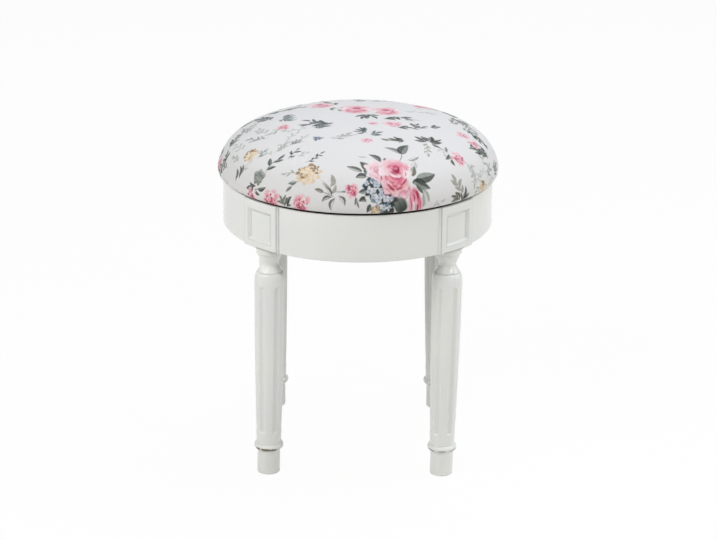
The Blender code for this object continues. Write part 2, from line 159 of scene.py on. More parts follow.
def creamPaint():
    material, wire = newMaterial("creamPaint")
    place = objectPlace(wire)
    stroke = wire.node("ShaderNodeUVMap", {"uv_map": "stroke"})
    shadeGrimeMark, arris, wear = (
        wire.node("ShaderNodeAttribute", {"attribute_name": mark}, out="Fac")
        for mark in ("shadeGrimeMark", "arris", "wear")
    )
    brushed = noise(wire, stretched(wire, stroke, paint["strokes"]), 1.0, 2.0)
    cloudy = noise(wire, place, paint["clouds"], 4.0)
    speckle = noise(wire, place, paint["speckles"], 3.0, 0.6)
    tone = cloudy.between(0.35, 0.7).tint(paint["cream"], paint["cool"])
    # painted shade, with some grime: marked hollows, flutes, joints and panel lines darken towards the dull
    # olive tone
    shadedGrimedTone = (shadeGrimeMark * (0.55 + 0.5 * speckle)).tint(tone, paint["grimeAndShade"])
    thin = arris * speckle.between(0.55, 0.72) * 0.35
    patches = noise(wire, place, paint["patches"], 2.0).between(0.42, 0.62)
    chipped = (wear * 1.5 - speckle * 0.4 - patches * 1.2).between(0.2, 0.5)
    worn = wire.node("ShaderNodeClamp", None, {"Value": thin + chipped})
    surface(wire, {
        "Base Color": worn.tint(shadedGrimedTone, paint["bareWood"]),
        "Roughness": paint["roughness"] + 0.05 * brushed + 0.3 * worn + 0.15 * shadeGrimeMark,
        "Normal": bump(wire, brushed * 0.7 + speckle * 0.3 - worn * 1.5, paint["relief"]),
        "Specular IOR Level": 0.45,
    })
    return material


# printed cotton sateen, woven fine
cotton = {
    "threadPitch": 0.00062,
    "roughness": 0.74,
    "slubs": (150.0, 1800.0, 150.0),  # noise cells per metre
    "slubShade": (0.55, 0.55, 0.57, 1.0),
    "relief": 0.00006,
    "whiteness": 0.87,
}


def roseCotton():
    material, wire = newMaterial("roseCotton")
    cloth = wire.node("ShaderNodeUVMap", {"uv_map": "cloth"})
    printed = wire.node("ShaderNodeAttribute", {"attribute_name": "print"}, out="Color")
    warp = wire.node("ShaderNodeSeparateXYZ", None, {"Vector": cloth})
    turns = 2 * math.pi / cotton["threadPitch"]
    weave = wire.maths("SINE", warp * turns) * wire.maths("SINE", warp.output("Y") * turns)
    slub = noise(wire, stretched(wire, cloth, cotton["slubs"]), 1.0, 3.0)
    surface(wire, {
        "Base Color": (slub.between(0.3, 0.75) * 0.05).tint(printed, cotton["slubShade"], "MULTIPLY"),
        "Roughness": cotton["roughness"] + 0.08 * slub,
        "Normal": bump(wire, weave * 0.5 + slub * 0.6, cotton["relief"]),
        "Sheen Weight": 0.12,
        "Sheen Roughness": 0.4,
        "Specular IOR Level": 0.3,
    })
    return material


# fittings and hidden materials
fittings = {
    "zinc": (0.60, 0.61, 0.60, 1.0),
    "zincDull": (0.44, 0.45, 0.44, 1.0),
    "zincBlotch": 260.0,  # noise cells per metre, reliefs in metres
    "zincScratch": (300.0, 300.0, 2600.0),
    "zincRelief": 0.00003,
    "beech": (0.56, 0.38, 0.23, 1.0),
    "beechDark": (0.42, 0.26, 0.14, 1.0),
    "beechGrain": (220.0, 220.0, 22.0),
    "ply": (0.62, 0.47, 0.29, 1.0),
    "plyDark": (0.45, 0.31, 0.17, 1.0),
    "plyGrain": (40.0, 40.0, 900.0),
    "woodRelief": 0.0001,
    "felt": (0.0122, 0.011, 0.0102, 1.0),
    "feltPale": (0.039, 0.035, 0.032, 1.0),
    "feltFibre": 1400.0,
    "feltLint": 2600.0,
    "feltRelief": 0.0004,
}


def zincSteel():
    material, wire = newMaterial("zincSteel")
    place = objectPlace(wire)
    blotch = noise(wire, place, fittings["zincBlotch"], 4.0)
    scratch = noise(wire, stretched(wire, place, fittings["zincScratch"]), 1.0, 2.0)
    surface(wire, {
        "Base Color": blotch.between(0.35, 0.7).tint(fittings["zinc"], fittings["zincDull"]),
        "Metallic": 1.0,
        "Roughness": 0.26 + 0.25 * blotch,
        "Normal": bump(wire, scratch, fittings["zincRelief"]),
    })
    return material


def plainWood(name, wood):
    material, wire = newMaterial(name)
    place = objectPlace(wire)
    grain = fittings[wood + "Grain"]
    ring = noise(wire, stretched(wire, place, grain), 1.0, 4.0, 0.6)
    pore = noise(wire, stretched(wire, place, tuple(5 * size for size in grain)), 1.0, 2.0)
    surface(wire, {
        "Base Color": ring.between(0.38, 0.66).tint(fittings[wood], fittings[wood + "Dark"]),
        "Roughness": 0.55 + 0.2 * pore,
        "Normal": bump(wire, ring * 0.5 + pore * 0.5, fittings["woodRelief"], 0.6),
    })
    return material


def blackFelt():
    material, wire = newMaterial("blackFelt")
    place = objectPlace(wire)
    fibre = noise(wire, place, fittings["feltFibre"], 4.0, 0.7)
    lint = noise(wire, place, fittings["feltLint"], 2.0)
    surface(wire, {
        "Base Color": fibre.between(0.45, 0.75).tint(fittings["felt"], fittings["feltPale"]),
        "Roughness": 0.88 + 0.1 * lint,
        "Normal": bump(wire, fibre * 0.7 + lint * 0.3, fittings["feltRelief"], 0.8),
        "Specular IOR Level": 0.2,
    })
    return material


creamMaterial = creamPaint()
cottonMaterial = roseCotton()
zincMaterial = zincSteel()
feltMaterial = blackFelt()
beechMaterial = plainWood("beechWood", "beech")
plyMaterial = plainWood("birchPly", "ply")
print("materials made")


# meshes
quadCorners = ((0, 0), (1, 0), (1, 1), (0, 1))  # steps in row and column from a quad's first point


def newObject(name, mesh, material):
    mesh.materials.clear()
    mesh.materials.append(material)
    mesh.shade_smooth()
    piece = bpy.data.objects.new(name, mesh)
    bpy.context.scene.collection.objects.link(piece)
    return piece


def handIn(name, mesh, material, replaced=(), sharp=None):  # a finished piece
    piece = newObject(name, mesh, material)
    if sharp:
        mesh.set_sharp_from_angle(angle=math.radians(sharp))
    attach(piece, "root")
    if replaced:
        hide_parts(*replaced)
    return piece


def meshFrom(name, points, faces, marks=None, uv=None, uvName="stroke"):  # uv by point or by face corner
    mesh = bpy.data.meshes.new(name)
    mesh.from_pydata(np.asarray(points).tolist(), [], faces)
    for mark, values in (marks or {}).items():
        attribute = mesh.attributes.new(mark, "FLOAT", "POINT")
        attribute.data.foreach_set("value", np.asarray(values, np.float32))
    if uv is not None:
        uv = np.asarray(uv, np.float32).reshape(-1, 2)
        if len(uv) == len(points):
            order = np.empty(len(mesh.loops), np.int32)
            mesh.loops.foreach_get("vertex_index", order)
            uv = uv[order]
        mesh.uv_layers.new(name=uvName).data.foreach_set("uv", uv.ravel())
    mesh.update()
    return mesh


def welded(mesh, distance=1e-6):
    work = bmesh.new()
    work.from_mesh(mesh)
    bmesh.ops.remove_doubles(work, verts=work.verts, dist=distance)
    bmesh.ops.recalc_face_normals(work, faces=work.faces)
    work.to_mesh(mesh)
    work.free()
    return mesh


def arc(centre, reachR, reachZ, start, end, steps):  # degrees, from +R towards +Z
    angles = np.radians(np.linspace(start, end, steps + 1))
    return [(centre[0] + reachR * math.cos(a), centre[1] + reachZ * math.sin(a)) for a in angles]


def stations(path):  # length run along a path up to each of its points
    return np.concatenate([[0.0], np.cumsum(np.hypot(*np.diff(path, axis=0).T))])


def swept(section, angles):  # points of a (radius, height) section carried round the axis
    radius, height = np.array(section).T
    return np.stack([
        np.outer(radius, np.cos(angles)),
        np.outer(radius, np.sin(angles)),
        np.outer(height, np.ones(len(angles))),
    ], axis=2).reshape(-1, 3)


def gridFaces(rows, columns, ringRows=False, ringColumns=False):  # quads of a grid
    down = np.arange(rows if ringRows else rows - 1)
    across = np.arange(columns if ringColumns else columns - 1)
    row, column = (index.ravel() for index in np.meshgrid(down, across, indexing="ij"))
    corner = [(row + y) % rows * columns + (column + x) % columns for y, x in quadCorners]
    return np.stack(corner, axis=1).tolist(), row, column


def supported(profile, gaps):  # extra rows close to both ends of every long run
    rows = [profile[0]]
    for (r0, z0), (r1, z1) in zip(profile, profile[1:]):
        length = math.hypot(r1 - r0, z1 - z0)
        shares = [gap / length for gap in gaps if length > 3 * gap]
        for share in shares + [1 - share for share in reversed(shares)]:
            rows.append((r0 + (r1 - r0) * share, z0 + (z1 - z0) * share))
        rows.append((r1, z1))
    return rows


def cornerMarks(profile, spread):  # hollow corners and outer corners of a profile, spread along it
    runs = np.diff(profile, axis=0)
    turning = np.zeros(len(profile))
    turning[1:-1] = np.diff(np.unwrap(np.arctan2(runs[:, 1], runs[:, 0])))
    station = stations(profile)
    near = np.exp(-(np.abs(station[:, None] - station[None, :]) / spread) ** 1.5)
    hollow, outer = ((near * np.clip(side * turning, 0.0, None)).sum(1) for side in (1, -1))
    return np.clip(hollow, 0.0, 1.0), np.clip(outer, 0.0, 1.0)


def lathe(name, profile, columns, marks=None):
    points = swept(profile, np.linspace(0.0, 2 * math.pi, columns, endpoint=False))
    faces, row, column = gridFaces(len(profile), columns, ringColumns=True)
    girth = leg["shaftRadius"] * 2 * math.pi / columns
    station = stations(profile)
    uv = [np.stack([station[row + down], (column + side) * girth], axis=1) for down, side in quadCorners]
    return meshFrom(name, points, faces, marks, np.stack(uv, axis=1))


def openTree(name, floats, others):  # node group: its named inputs, their wires and a free wire
    tree = bpy.data.node_groups.new(name, "GeometryNodeTree")
    kinds = {"Geometry": "Geometry", **dict.fromkeys(floats, "Float"), **others}
    sockets = {
        label: tree.interface.new_socket(label, in_out="INPUT", socket_type="NodeSocket" + kind)
        for label, kind in kinds.items()
    }
    tree.interface.new_socket("Geometry", in_out="OUTPUT", socket_type="NodeSocketGeometry")
    entry = tree.nodes.new("NodeGroupInput")
    value = {socket.name: Wire(tree, socket) for socket in entry.outputs if socket.name}
    return sockets, value, Wire(tree)


def closeTree(wire, geometry, material):
    whole = wire.node("GeometryNodeRealizeInstances", None, {"Geometry": geometry})
    coated = wire.node("GeometryNodeSetMaterial", None, {"Geometry": whole, "Material": material})
    wire.node("NodeGroupOutput", None, {"Geometry": coated})


def bakeNodes(worker, tree, sockets, values):  # one plain mesh from a geometry-nodes tree
    modifier = worker.modifiers.new("shape", "NODES")
    modifier.node_group = tree
    for name, value in values.items():
        modifier[sockets[name].identifier] = value
    graph = bpy.context.evaluated_depsgraph_get()
    mesh = bpy.data.meshes.new_from_object(worker.evaluated_get(graph))
    worker.modifiers.remove(modifier)
    bpy.data.objects.remove(worker, do_unlink=True)
    return mesh


# turned legs: lathe the moulding, then let geometry nodes carve the flutes
legLow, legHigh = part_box("leg_front_left")
leg = {
    "top": legHigh.z,
    "twist": 0.07,  # the legs lean round with the apron, radians to a metre
    "twistHeight": 0.074,
    "shaftRadius": (legHigh.x - legLow.x) / 2,
    "shaftFootRadius": 0.0173,
    "entasis": 0.0008,  # swelling of the shaft's middle
    "collarRadius": 0.0192,
    "collarBand": 0.0072,
    "collarEdge": 0.0009,
    "coneRadius": 0.0168,
    "neckDrop": 0.024,  # from the leg's top to its narrowest place
    "neckRadius": 0.0118,
    "flareRadius": 0.017,
    "flareDrop": 0.0343,
    "flareCurve": 1.25,
    "quirk": 0.0012,
    "quirkDepth": 0.0007,
    "shoulderHeight": 0.0165,
    "ringProud": 0.0046,
    "ringHeight": 0.0094,
    "footRadius": 0.016,
    "footHeight": 0.0366,
    "footRound": 0.0014,
    "arris": 0.0006,  # rounding of the turned edges
    "supports": (0.0011, 0.0026),  # extra rows beside an edge
    "markSpread": 0.0009,
    "wear": {"front_left": 1.0, "front_right": 0.5, "back_left": 0.3, "back_right": 0.4},
    "wearRise": 0.0028,  # above the ring's lower edge
    "wearSpread": 0.0022,
    "wearInset": 0.0002,  # worn only where the radius passes the foot's, less this
    # reach of the painted shade and grime under the ring
    "underRingShadeReach": 0.003,
    "columns": 240,
    "fluteCount": 6,
    "fluteWidth": 0.0086,
    "fluteDepth": 0.0019,
    "fluteTurn": math.radians(-60.0),  # a land faces the front
    "fluteTopMargin": 0.0012,
    "fluteFootMargin": 0.017,
    "fluteEdge": 0.0007,
    "rowsAbove": 0.0008,  # close rows run on past a flute's ends
    "rowsBelow": 0.001,
}


def legProfile():
    soft, edge, top = leg["arris"], leg["collarEdge"], leg["top"]
    flareFoot = top - leg["flareDrop"]
    shaftTop = flareFoot - leg["quirk"] - leg["shoulderHeight"]
    ringTop = leg["footHeight"] + leg["ringHeight"]
    profile = [(0.0, top)]
    profile += arc((leg["collarRadius"] - soft, top - soft), soft, soft, 90, 0, 4)
    profile += arc((leg["collarRadius"] - edge, top - leg["collarBand"]), edge, edge, 0, -75, 5)
    narrow, wide, flared = leg["neckRadius"], leg["coneRadius"], leg["flareRadius"]
    cone = leg["neckDrop"] - leg["collarBand"] - 1.6 * edge
    for t in np.linspace(1, 0, 18):
        profile.append((narrow + (wide - narrow) * t * t * (3 - 2 * t), top - leg["neckDrop"] + cone * t))
    bell = leg["flareDrop"] - leg["neckDrop"]
    for t in np.linspace(0.08, 1, 14):
        profile.append((narrow + (flared - narrow) * t ** leg["flareCurve"], flareFoot + bell * (1 - t)))
    profile += arc((flared, flareFoot - leg["quirk"] / 2), leg["quirkDepth"], leg["quirk"] / 2, 110, 250, 6)
    profile += arc((flared, shaftTop), leg["shaftRadius"] - flared, leg["shoulderHeight"], 84, 0, 20)
    fluteHigh = shaftTop - leg["fluteTopMargin"]
    fluteLow = ringTop + leg["fluteFootMargin"]
    endRun = 0.75 * leg["fluteWidth"]
    heights = np.concatenate([
        np.linspace(fluteHigh + leg["rowsAbove"], fluteHigh - endRun, 16),
        np.linspace(fluteHigh - endRun, fluteLow + endRun, 22)[1:-1],
        np.linspace(fluteLow + endRun, fluteLow - leg["rowsBelow"], 16),
    ])
    taper = (leg["shaftRadius"] - leg["shaftFootRadius"]) / (shaftTop - ringTop)
    for z in heights:
        swelling = leg["entasis"] * math.sin(math.pi * (shaftTop - z) / (shaftTop - ringTop))
        profile.append((leg["shaftRadius"] - taper * (shaftTop - z) + swelling, z))
    profile.append((leg["shaftFootRadius"] + taper * soft, ringTop + soft))
    ring = (leg["footRadius"], leg["footHeight"] + leg["ringHeight"] / 2)
    profile += arc(ring, leg["ringProud"], leg["ringHeight"] / 2, 72, -72, 16)
    profile.append((leg["footRadius"], leg["footHeight"] - soft))
    foot = (leg["footRadius"] - leg["footRound"], leg["footRound"])
    profile += arc(foot, leg["footRound"], leg["footRound"], 0, -90, 5)
    profile.append((0.0, 0.0))
    return supported(profile, leg["supports"]), fluteHigh, fluteLow


def legMarks(profile):  # painted shade and grime in the turned hollows and under the ring, thin paint on edges, wear under the ring
    radius, height = np.array(profile).T
    hollow, outer = cornerMarks(profile, leg["markSpread"])
    rise = height - leg["footHeight"] - leg["wearRise"]
    wear = np.exp(-(rise / leg["wearSpread"]) ** 2) * (radius > leg["footRadius"] - leg["wearInset"])
    underRingShadeGrime = np.clip(1.0 - np.abs(rise) / leg["underRingShadeReach"], 0.0, 1.0)
    marks = {"shadeGrimeMark": hollow * 0.12 + underRingShadeGrime * 0.4, "arris": outer * 0.5, "wear": wear}
    return {name: np.repeat(values, leg["columns"]) for name, values in marks.items()}


def addMark(wire, geometry, name, amount):  # adds to an attribute the blank already has
    old = wire.node("GeometryNodeInputNamedAttribute", {"data_type": "FLOAT"}, {"Name": name})
    settings = {"data_type": "FLOAT", "domain": "POINT"}
    sockets = {"Geometry": geometry, "Name": name, "Value": old + amount}
    return wire.node("GeometryNodeStoreNamedAttribute", settings, sockets)


def fluteTree():
    floats = ("Count", "Width", "Depth", "Highest", "Lowest", "Turn")
    sockets, value, wire = openTree("carveFlutes", floats, {"Paint": "Material"})
    x = wire.node("ShaderNodeSeparateXYZ", None, {"Vector": wire.node("GeometryNodeInputPosition")})
    y, z = x.output("Y"), x.output("Z")
    radius = wire.maths("SQRT", x * x + y * y)
    sector = 2 * math.pi / value["Count"]
    offset = wire.maths("WRAP", wire.maths("ARCTAN2", y, x) - value["Turn"], sector / 2, sector / -2)
    across = radius * wire.maths("SINE", offset)
    half, depth = value["Width"] / 2, value["Depth"]
    beyond = (z - (value["Highest"] - half)).atLeast(0) + (value["Lowest"] + half - z).atLeast(0)
    reach = across * across + beyond * beyond
    tool = (half * half + depth * depth) / (2 * depth)
    carve = (wire.maths("SQRT", (tool * tool - reach).atLeast(0)) - (tool - depth)).atLeast(0)
    inwards = {axis: place / radius * -1 * carve for axis, place in (("X", x), ("Y", y))}
    inward = wire.node("ShaderNodeCombineXYZ", None, inwards)
    carved = wire.node("GeometryNodeSetPosition", None, {"Geometry": value["Geometry"], "Offset": inward})
    edge = (1 - wire.maths("ABSOLUTE", wire.maths("SQRT", reach) - half) / leg["fluteEdge"]).atLeast(0)
    onFlute = wire.maths("LESS_THAN", reach, 4 * half * half)
    edged = addMark(wire, carved, "arris", edge * onFlute * 0.7)
    # painted shade in the flutes, darker where they are carved deeper
    closeTree(wire, addMark(wire, edged, "shadeGrimeMark", carve / depth * 0.16), value["Paint"])
    return wire.tree, sockets


def makeLegs():
    profile, fluteHigh, fluteLow = legProfile()
    turned = lathe("legBlank", profile, leg["columns"], legMarks(profile))
    blank = newObject("legBlank", welded(turned), creamMaterial)
    mesh = bakeNodes(blank, *fluteTree(), {
        "Count": float(leg["fluteCount"]),
        "Width": leg["fluteWidth"],
        "Depth": leg["fluteDepth"],
        "Highest": fluteHigh,
        "Lowest": fluteLow,
        "Turn": leg["fluteTurn"],
        "Paint": creamMaterial,
    })
    for corner in corners:
        low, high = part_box("leg_" + corner)
        x, y = (low.x + high.x) / 2, (low.y + high.y) / 2
        lean = Matrix.Identity(4)
        for axis, place, slope in ((0, x, -y * leg["twist"]), (1, y, x * leg["twist"])):
            lean[axis][2] = slope
            lean[axis][3] = place - slope * leg["twistHeight"]
        own = mesh.copy()
        own.transform(lean)
        worn = np.empty(len(own.vertices), np.float32)
        own.attributes["wear"].data.foreach_get("value", worn)
        own.attributes["wear"].data.foreach_set("value", worn * leg["wear"][corner])
        handIn("fluted_leg_" + corner, own, creamMaterial, ["leg_" + corner], 50)
    print("legs turned and fluted:", len(mesh.polygons), "faces each")


makeLegs()


# apron rails: a rounded section swept along the arc between two blocks
rail = {
    "turn": 0.0092,  # the apron sits a hair turned over the feet, front to the right
    "thickness": 0.022,
    "edgeRound": 0.0017,
    "gap": 0.0003,
    "filledGap": 0.0001,
    "filledShadeGrime": 0.15,  # of the painted shade and grime at the open end
    "lineWidth": 0.0012,  # painted shade and grime at a rail's ends
    "rimWidth": 0.0016,
    "seam": 0.001,  # from the section's last point back to its first, for brush strokes
    "columns": 110,
}
block = {
    "width": 0.063,
    "sideFlare": 0.0025,  # how much wider it is where it meets the rail
    "proud": 0.0029,
    "backRadius": 0.1501,
    "sideMargin": 0.0111,  # face left beside the sunk panel
    "topMargin": 0.0138,
    "endMargin": 0.0116,
    "bevel": 0.004,
    "depth": 0.0034,
    "edgeRound": 0.0008,
    "lineStep": 0.0009,
    "lineShifts": (-0.00045, -0.00015, 0.00015, 0.00045),  # extra samples at an edge
    "closest": 0.00012,
    # height over which the painted shade line of the lower bevel fades
    "lowerFade": 0.01,
    "faceStep": 0.0003,  # rings down a block's sides: under the face, then above and below the rail
    "stepOut": 0.0004,
    "stepIn": 0.0006,
    "lineWidth": 0.0007,  # painted shade and thin paint along the panel's edges
    "legShadowShift": 0.0106,  # middle and half length of the painted shadow line over the leg
    "legShadowTurn": 0.0028,
    "legShadowHalf": 0.0175,
    "legShadowFade": 0.003,
    "legShadowWidth": 0.0015,
    # share of the painted shade and grime on the side that meets a rail's filled end
    "filledShadeGrime": 0.2,
}
blockFace = apronRadius + block["proud"]
blockHalfAngle = math.asin(block["width"] / 2 / blockFace)
railStart = blockHalfAngle + block["sideFlare"] / apronRadius


def railSection():  # closed (radius, height) loop, outer face first
    soft = rail["edgeRound"]
    inner = apronRadius - rail["thickness"] + soft
    outer = apronRadius - soft
    low, high = apronBottom + soft, apronTop - soft
    loop = arc((outer, high), soft, soft, 90, 0, 5)
    loop += [(apronRadius, z) for z in np.linspace(high, low, 6)[1:-1]]
    loop += arc((outer, low), soft, soft, 0, -90, 5)
    loop += arc((inner, low), soft, soft, -90, -180, 4)
    loop += arc((inner, high), soft, soft, 180, 90, 4)
    return np.array(loop)


def makeRails():
    section = railSection()
    rows = len(section)
    inner = apronRadius - rail["thickness"]
    openEnd, filledEnd = (math.pi / 4 - railStart - rail[gap] / inner for gap in ("gap", "filledGap"))
    line = np.array([0.5, 1.0]) * rail["lineWidth"] / apronRadius
    even = np.linspace(-openEnd, filledEnd, rail["columns"])
    angles = np.sort(np.concatenate([even, line - openEnd, filledEnd - line]))
    columns = len(angles)
    faces, row, column = gridFaces(rows, columns, ringRows=True)
    firsts = np.arange(rows) * columns
    faces += [firsts[::-1].tolist(), (firsts + columns - 1).tolist()]
    station, run = stations(section), angles * apronRadius
    below = np.append(station[1:], station[-1] + rail["seam"])
    uv = [np.stack([run[column + x], (below if y else station)[row]], axis=1) for y, x in quadCorners]
    uv = np.vstack([np.stack(uv, axis=1).reshape(-1, 2), np.zeros((2 * rows, 2))])
    # painted shade and grime along the rail's ends where they meet the blocks
    endness = np.clip(1 - (angles + openEnd) / line[1], 0.0, 1.0)
    endness += np.clip(1 - (filledEnd - angles) / line[1], 0.0, 1.0) * rail["filledShadeGrime"]
    toRim = np.minimum(apronTop - section[:, 1], section[:, 1] - apronBottom)
    rim = np.clip(1 - toRim / rail["rimWidth"], 0.0, 1.0)
    marks = {"shadeGrimeMark": np.tile(endness * 0.8, rows), "arris": np.repeat(rim * 0.6, columns)}
    for side, middle in sides.items():
        points = swept(section, angles + math.radians(middle) + rail["turn"])
        mesh = meshFrom("apron_" + side, points, faces, marks, uv)
        handIn("bent_rail_" + side, mesh, creamMaterial, ["apron_rail_" + side], 50)
    print("rails bent:", len(faces), "faces each")


makeRails()


def stops(half, insets):  # sample places across a face, with extra ones at lines inset from its edges
    step = block["lineStep"]
    places = list(np.arange(-half, half + step / 2, 2 * half / round(2 * half / step)))
    for inset in insets:
        for shift in block["lineShifts"]:
            places += [half - inset + shift, inset - half - shift]
    places = np.unique(np.round(np.clip(places, -half, half), 6))
    keep = np.concatenate([[True], np.diff(places) > block["closest"]])
    keep[-1] = True
    return places[keep]


def hump(distance, width):
    return np.exp(-(distance / width) ** 2)


def blockFaceDrop(x, z, halfWidth, halfHeight):  # how far the face lies behind its curve, and its marks: painted shade along the panel's edges and the block's sides, and thin paint on its arrises
    toSide = halfWidth - np.abs(x)
    toEnd = halfHeight - np.abs(z)
    soft, line = block["edgeRound"], block["lineWidth"]
    rounding = np.zeros_like(x)
    for room in (toSide, toEnd):
        short = np.clip(soft - room, 0.0, soft)
        rounding += soft - np.sqrt(soft ** 2 - short ** 2)
    endRoom = np.minimum(halfHeight - z - block["topMargin"], halfHeight + z - block["endMargin"])
    inside = np.minimum(toSide - block["sideMargin"], endRoom) + block["bevel"] * 0.5
    share = np.clip(inside / block["bevel"], 0.0, 1.0)
    sunk = block["depth"] * (share - 0.12 * np.sin(2 * np.pi * share))
    # the lower bevel faces the light, so its painted shade line is weaker there
    lower = np.clip(0.5 - z / block["lowerFade"], 0.0, 1.0) * (endRoom < toSide - block["sideMargin"])
    shadeGrimeMark = hump(inside - block["bevel"], line) * (0.5 - 0.4 * lower)
    shadeGrimeMark += hump(inside, line) * 0.35 + hump(toSide, line)
    arris = hump(inside, line) * 0.5 + hump(np.minimum(toSide, toEnd), soft) * 0.6
    return rounding + sunk, shadeGrimeMark, arris


def makeBlocks():
    halfWidth = blockHalfAngle * blockFace
    halfHeight = (apronTop - apronBottom) / 2
    middle = (apronTop + apronBottom) / 2
    bevel, soft = np.array([-0.5, 0.5]) * block["bevel"], block["edgeRound"] / 2
    xs = stops(halfWidth, [*(block["sideMargin"] + bevel), soft])
    zs = stops(halfHeight, [*(block["topMargin"] + bevel), *(block["endMargin"] + bevel), soft])
    gridX, gridZ = np.meshgrid(xs, zs, indexing="ij")
    drop, shadeGrimeMark, arris = blockFaceDrop(gridX, gridZ, halfWidth, halfHeight)
    faces = gridFaces(len(xs), len(zs))[0]
    index = np.arange(gridX.size).reshape(gridX.shape)
    border = np.concatenate([index[:, 0], index[-1, 1:], index[-2::-1, -1], index[0, -2:0:-1]])
    count = len(border)
    rings = [border] + [gridX.size + k * count + np.arange(count) for k in range(4)]
    for outer, inner in zip(rings, rings[1:]):
        faces += np.stack([outer, inner, np.roll(inner, -1), np.roll(outer, -1)], axis=1).tolist()
    faces.append(rings[-1][::-1].tolist())
    flatX, flatZ = gridX.ravel(), gridZ.ravel()
    radius = blockFace - drop.ravel()
    angle = flatX / blockFace
    rimX, rimZ, rimRadius = flatX[border], flatZ[border], radius[border]
    onSide = np.abs(np.abs(rimX) - halfWidth) < 1e-6
    flare = np.where(onSide, np.sign(rimX), rimX / halfWidth) * (railStart - blockHalfAngle)
    walls = (
        (rimRadius - block["faceStep"], 0.1, 0.0),  # ring radius, share of the flare, painted shade and grime
        (apronRadius + block["stepOut"], 0.88, 0.0),
        (apronRadius - block["stepIn"], 1.0, 0.35),
        (block["backRadius"], 1.0, 0.3),
    )
    allRadius = np.concatenate([radius] + [np.minimum(ring, rimRadius) for ring, share, grimeAndShade in walls])
    allAngle = np.concatenate([angle] + [angle[border] + flare * share for ring, share, grimeAndShade in walls])
    allZ = np.concatenate([flatZ] + [rimZ] * 4) + middle
    wallShadeGrime = [np.where(rimX < 0, block["filledShadeGrime"], 1.0) * grimeAndShade for ring, share, grimeAndShade in walls]
    # painted shadow along the block's lower edge, only where the leg stands behind it
    legShadow = hump(flatZ + halfHeight, block["legShadowWidth"]) * 1.8
    marks = {"arris": np.concatenate([arris.ravel(), np.zeros(4 * count)])}
    uv = np.stack([allZ, allAngle * blockFace], axis=1)
    for corner, turn in corners.items():
        side = 1 if corner in ("front_left", "back_right") else -1
        shift = block["legShadowShift"] * side + block["legShadowTurn"]
        overLeg = np.clip((block["legShadowHalf"] - np.abs(flatX - shift)) / block["legShadowFade"] + 1.0, 0.0, 1.0)
        marks["shadeGrimeMark"] = np.concatenate([shadeGrimeMark.ravel() + legShadow * overLeg] + wallShadeGrime)
        turned = allAngle + math.radians(turn) + rail["turn"]
        points = np.stack([allRadius * np.cos(turned), allRadius * np.sin(turned), allZ], axis=1)
        mesh = meshFrom("block_" + corner, points, faces, marks, uv)
        handIn("panelled_block_" + corner, mesh, creamMaterial, ["leg_block_" + corner], 60)
    print("blocks panelled:", len(faces), "faces each")


makeBlocks()


# cushion: an even ringed disc of cloth, blown up over the pad and held under the board
cushion = {
    "pitch": 0.00078,  # metres between points of the finished cloth
    "simPitch": 0.0052,
    "fullness": 2.73,  # superellipse exponent of the crown
    "widestRise": 0.0035,
    "edgeDrop": 0.003,
    "edgeTuck": 0.0085,
    "startInset": 0.0042,
    "swellCap": 0.0046,
    "stapleGap": 0.024,
    "hem": 0.006,  # cloth out of sight, pulled under the board
    "pinFade": 0.009,
    "pressure": 4.5,
    "frames": 20,
    "spread": 0.006,  # the stuffing swells outwards and sits a hair higher to the right
    "lean": 0.0065,
    "settle": 0.008,
    "stapleHold": 0.45,  # how much of the cloth's hold comes and goes from staple to staple
    "quickDepth": 0.05,
    "quickStart": 0.012,
    "quickRun": 0.05,
}
clothSettings = {
    "quality": 6,
    "mass": 0.25,
    "tension_stiffness": 18.0,
    "compression_stiffness": 18.0,
    "shear_stiffness": 6.0,
    "bending_stiffness": 0.6,
    "use_pressure": True,
    "uniform_pressure_force": cushion["pressure"],
    "vertex_group_mass": "pins",
}
cushionRadius = (coverHigh.x - coverLow.x) / 2
widestHeight = coverLow.z + cushion["widestRise"]
hemHeight = widestHeight - cushion["edgeDrop"]


def clothPath(inset):  # (radius, height) along the cloth, from the crown's middle to the hem
    angles = np.linspace(0.0, math.pi / 2, 600)
    power = 2 / cushion["fullness"]
    fade = np.clip(np.cos(angles) * 4, 0.0, 1.0)
    radius = (cushionRadius - inset * fade) * np.sin(angles) ** power
    crown = coverHigh.z - widestHeight - inset
    height = widestHeight + crown * np.clip(np.cos(angles), 0.0, None) ** power
    centre = (cushionRadius - cushion["edgeTuck"], widestHeight)
    edge = arc(centre, cushion["edgeTuck"], cushion["edgeDrop"], 0, -90, 40)[1:]
    path = np.vstack([np.stack([radius, height], axis=1), edge, [(centre[0] - cushion["hem"], hemHeight)]])
    return path, stations(path)


def ringedDisc(rings):  # ring k has 6k points, so the triangles stay even right out to the rim
    level = np.concatenate([[0]] + [np.full(6 * k, k) for k in range(1, rings + 1)])
    index = np.concatenate([[0]] + [np.arange(6 * k) for k in range(1, rings + 1)])
    angle = 2 * math.pi * index / np.maximum(6 * level, 1)
    start = np.concatenate([[0], 1 + 3 * np.arange(1, rings + 1) * np.arange(0, rings)])
    faces = []
    for k in range(rings):
        sector = np.repeat(np.arange(6), k + 1)
        i = np.tile(np.arange(k + 1), 6)
        inner, innerNext = (start[k] + (sector * k + i + ahead) % max(6 * k, 1) for ahead in (0, 1))
        ring = k + 1
        outer, outerNext = (start[ring] + (sector * ring + i + ahead) % (6 * ring) for ahead in (0, 1))
        faces += np.stack([inner, outer, outerNext], axis=1).tolist()
        faces += np.stack([inner, outerNext, innerNext], axis=1)[i < k].tolist()
    faces.append(np.arange(start[rings], start[rings] + 6 * rings)[::-1].tolist())
    return level, angle, start, faces


def clothPoints(path, run, level, angle, rings):
    station = level / rings * run[-1]
    radius, height = (np.interp(station, run, path[:, axis]) for axis in (0, 1))
    return np.stack([radius * np.cos(angle), radius * np.sin(angle), height], axis=1)


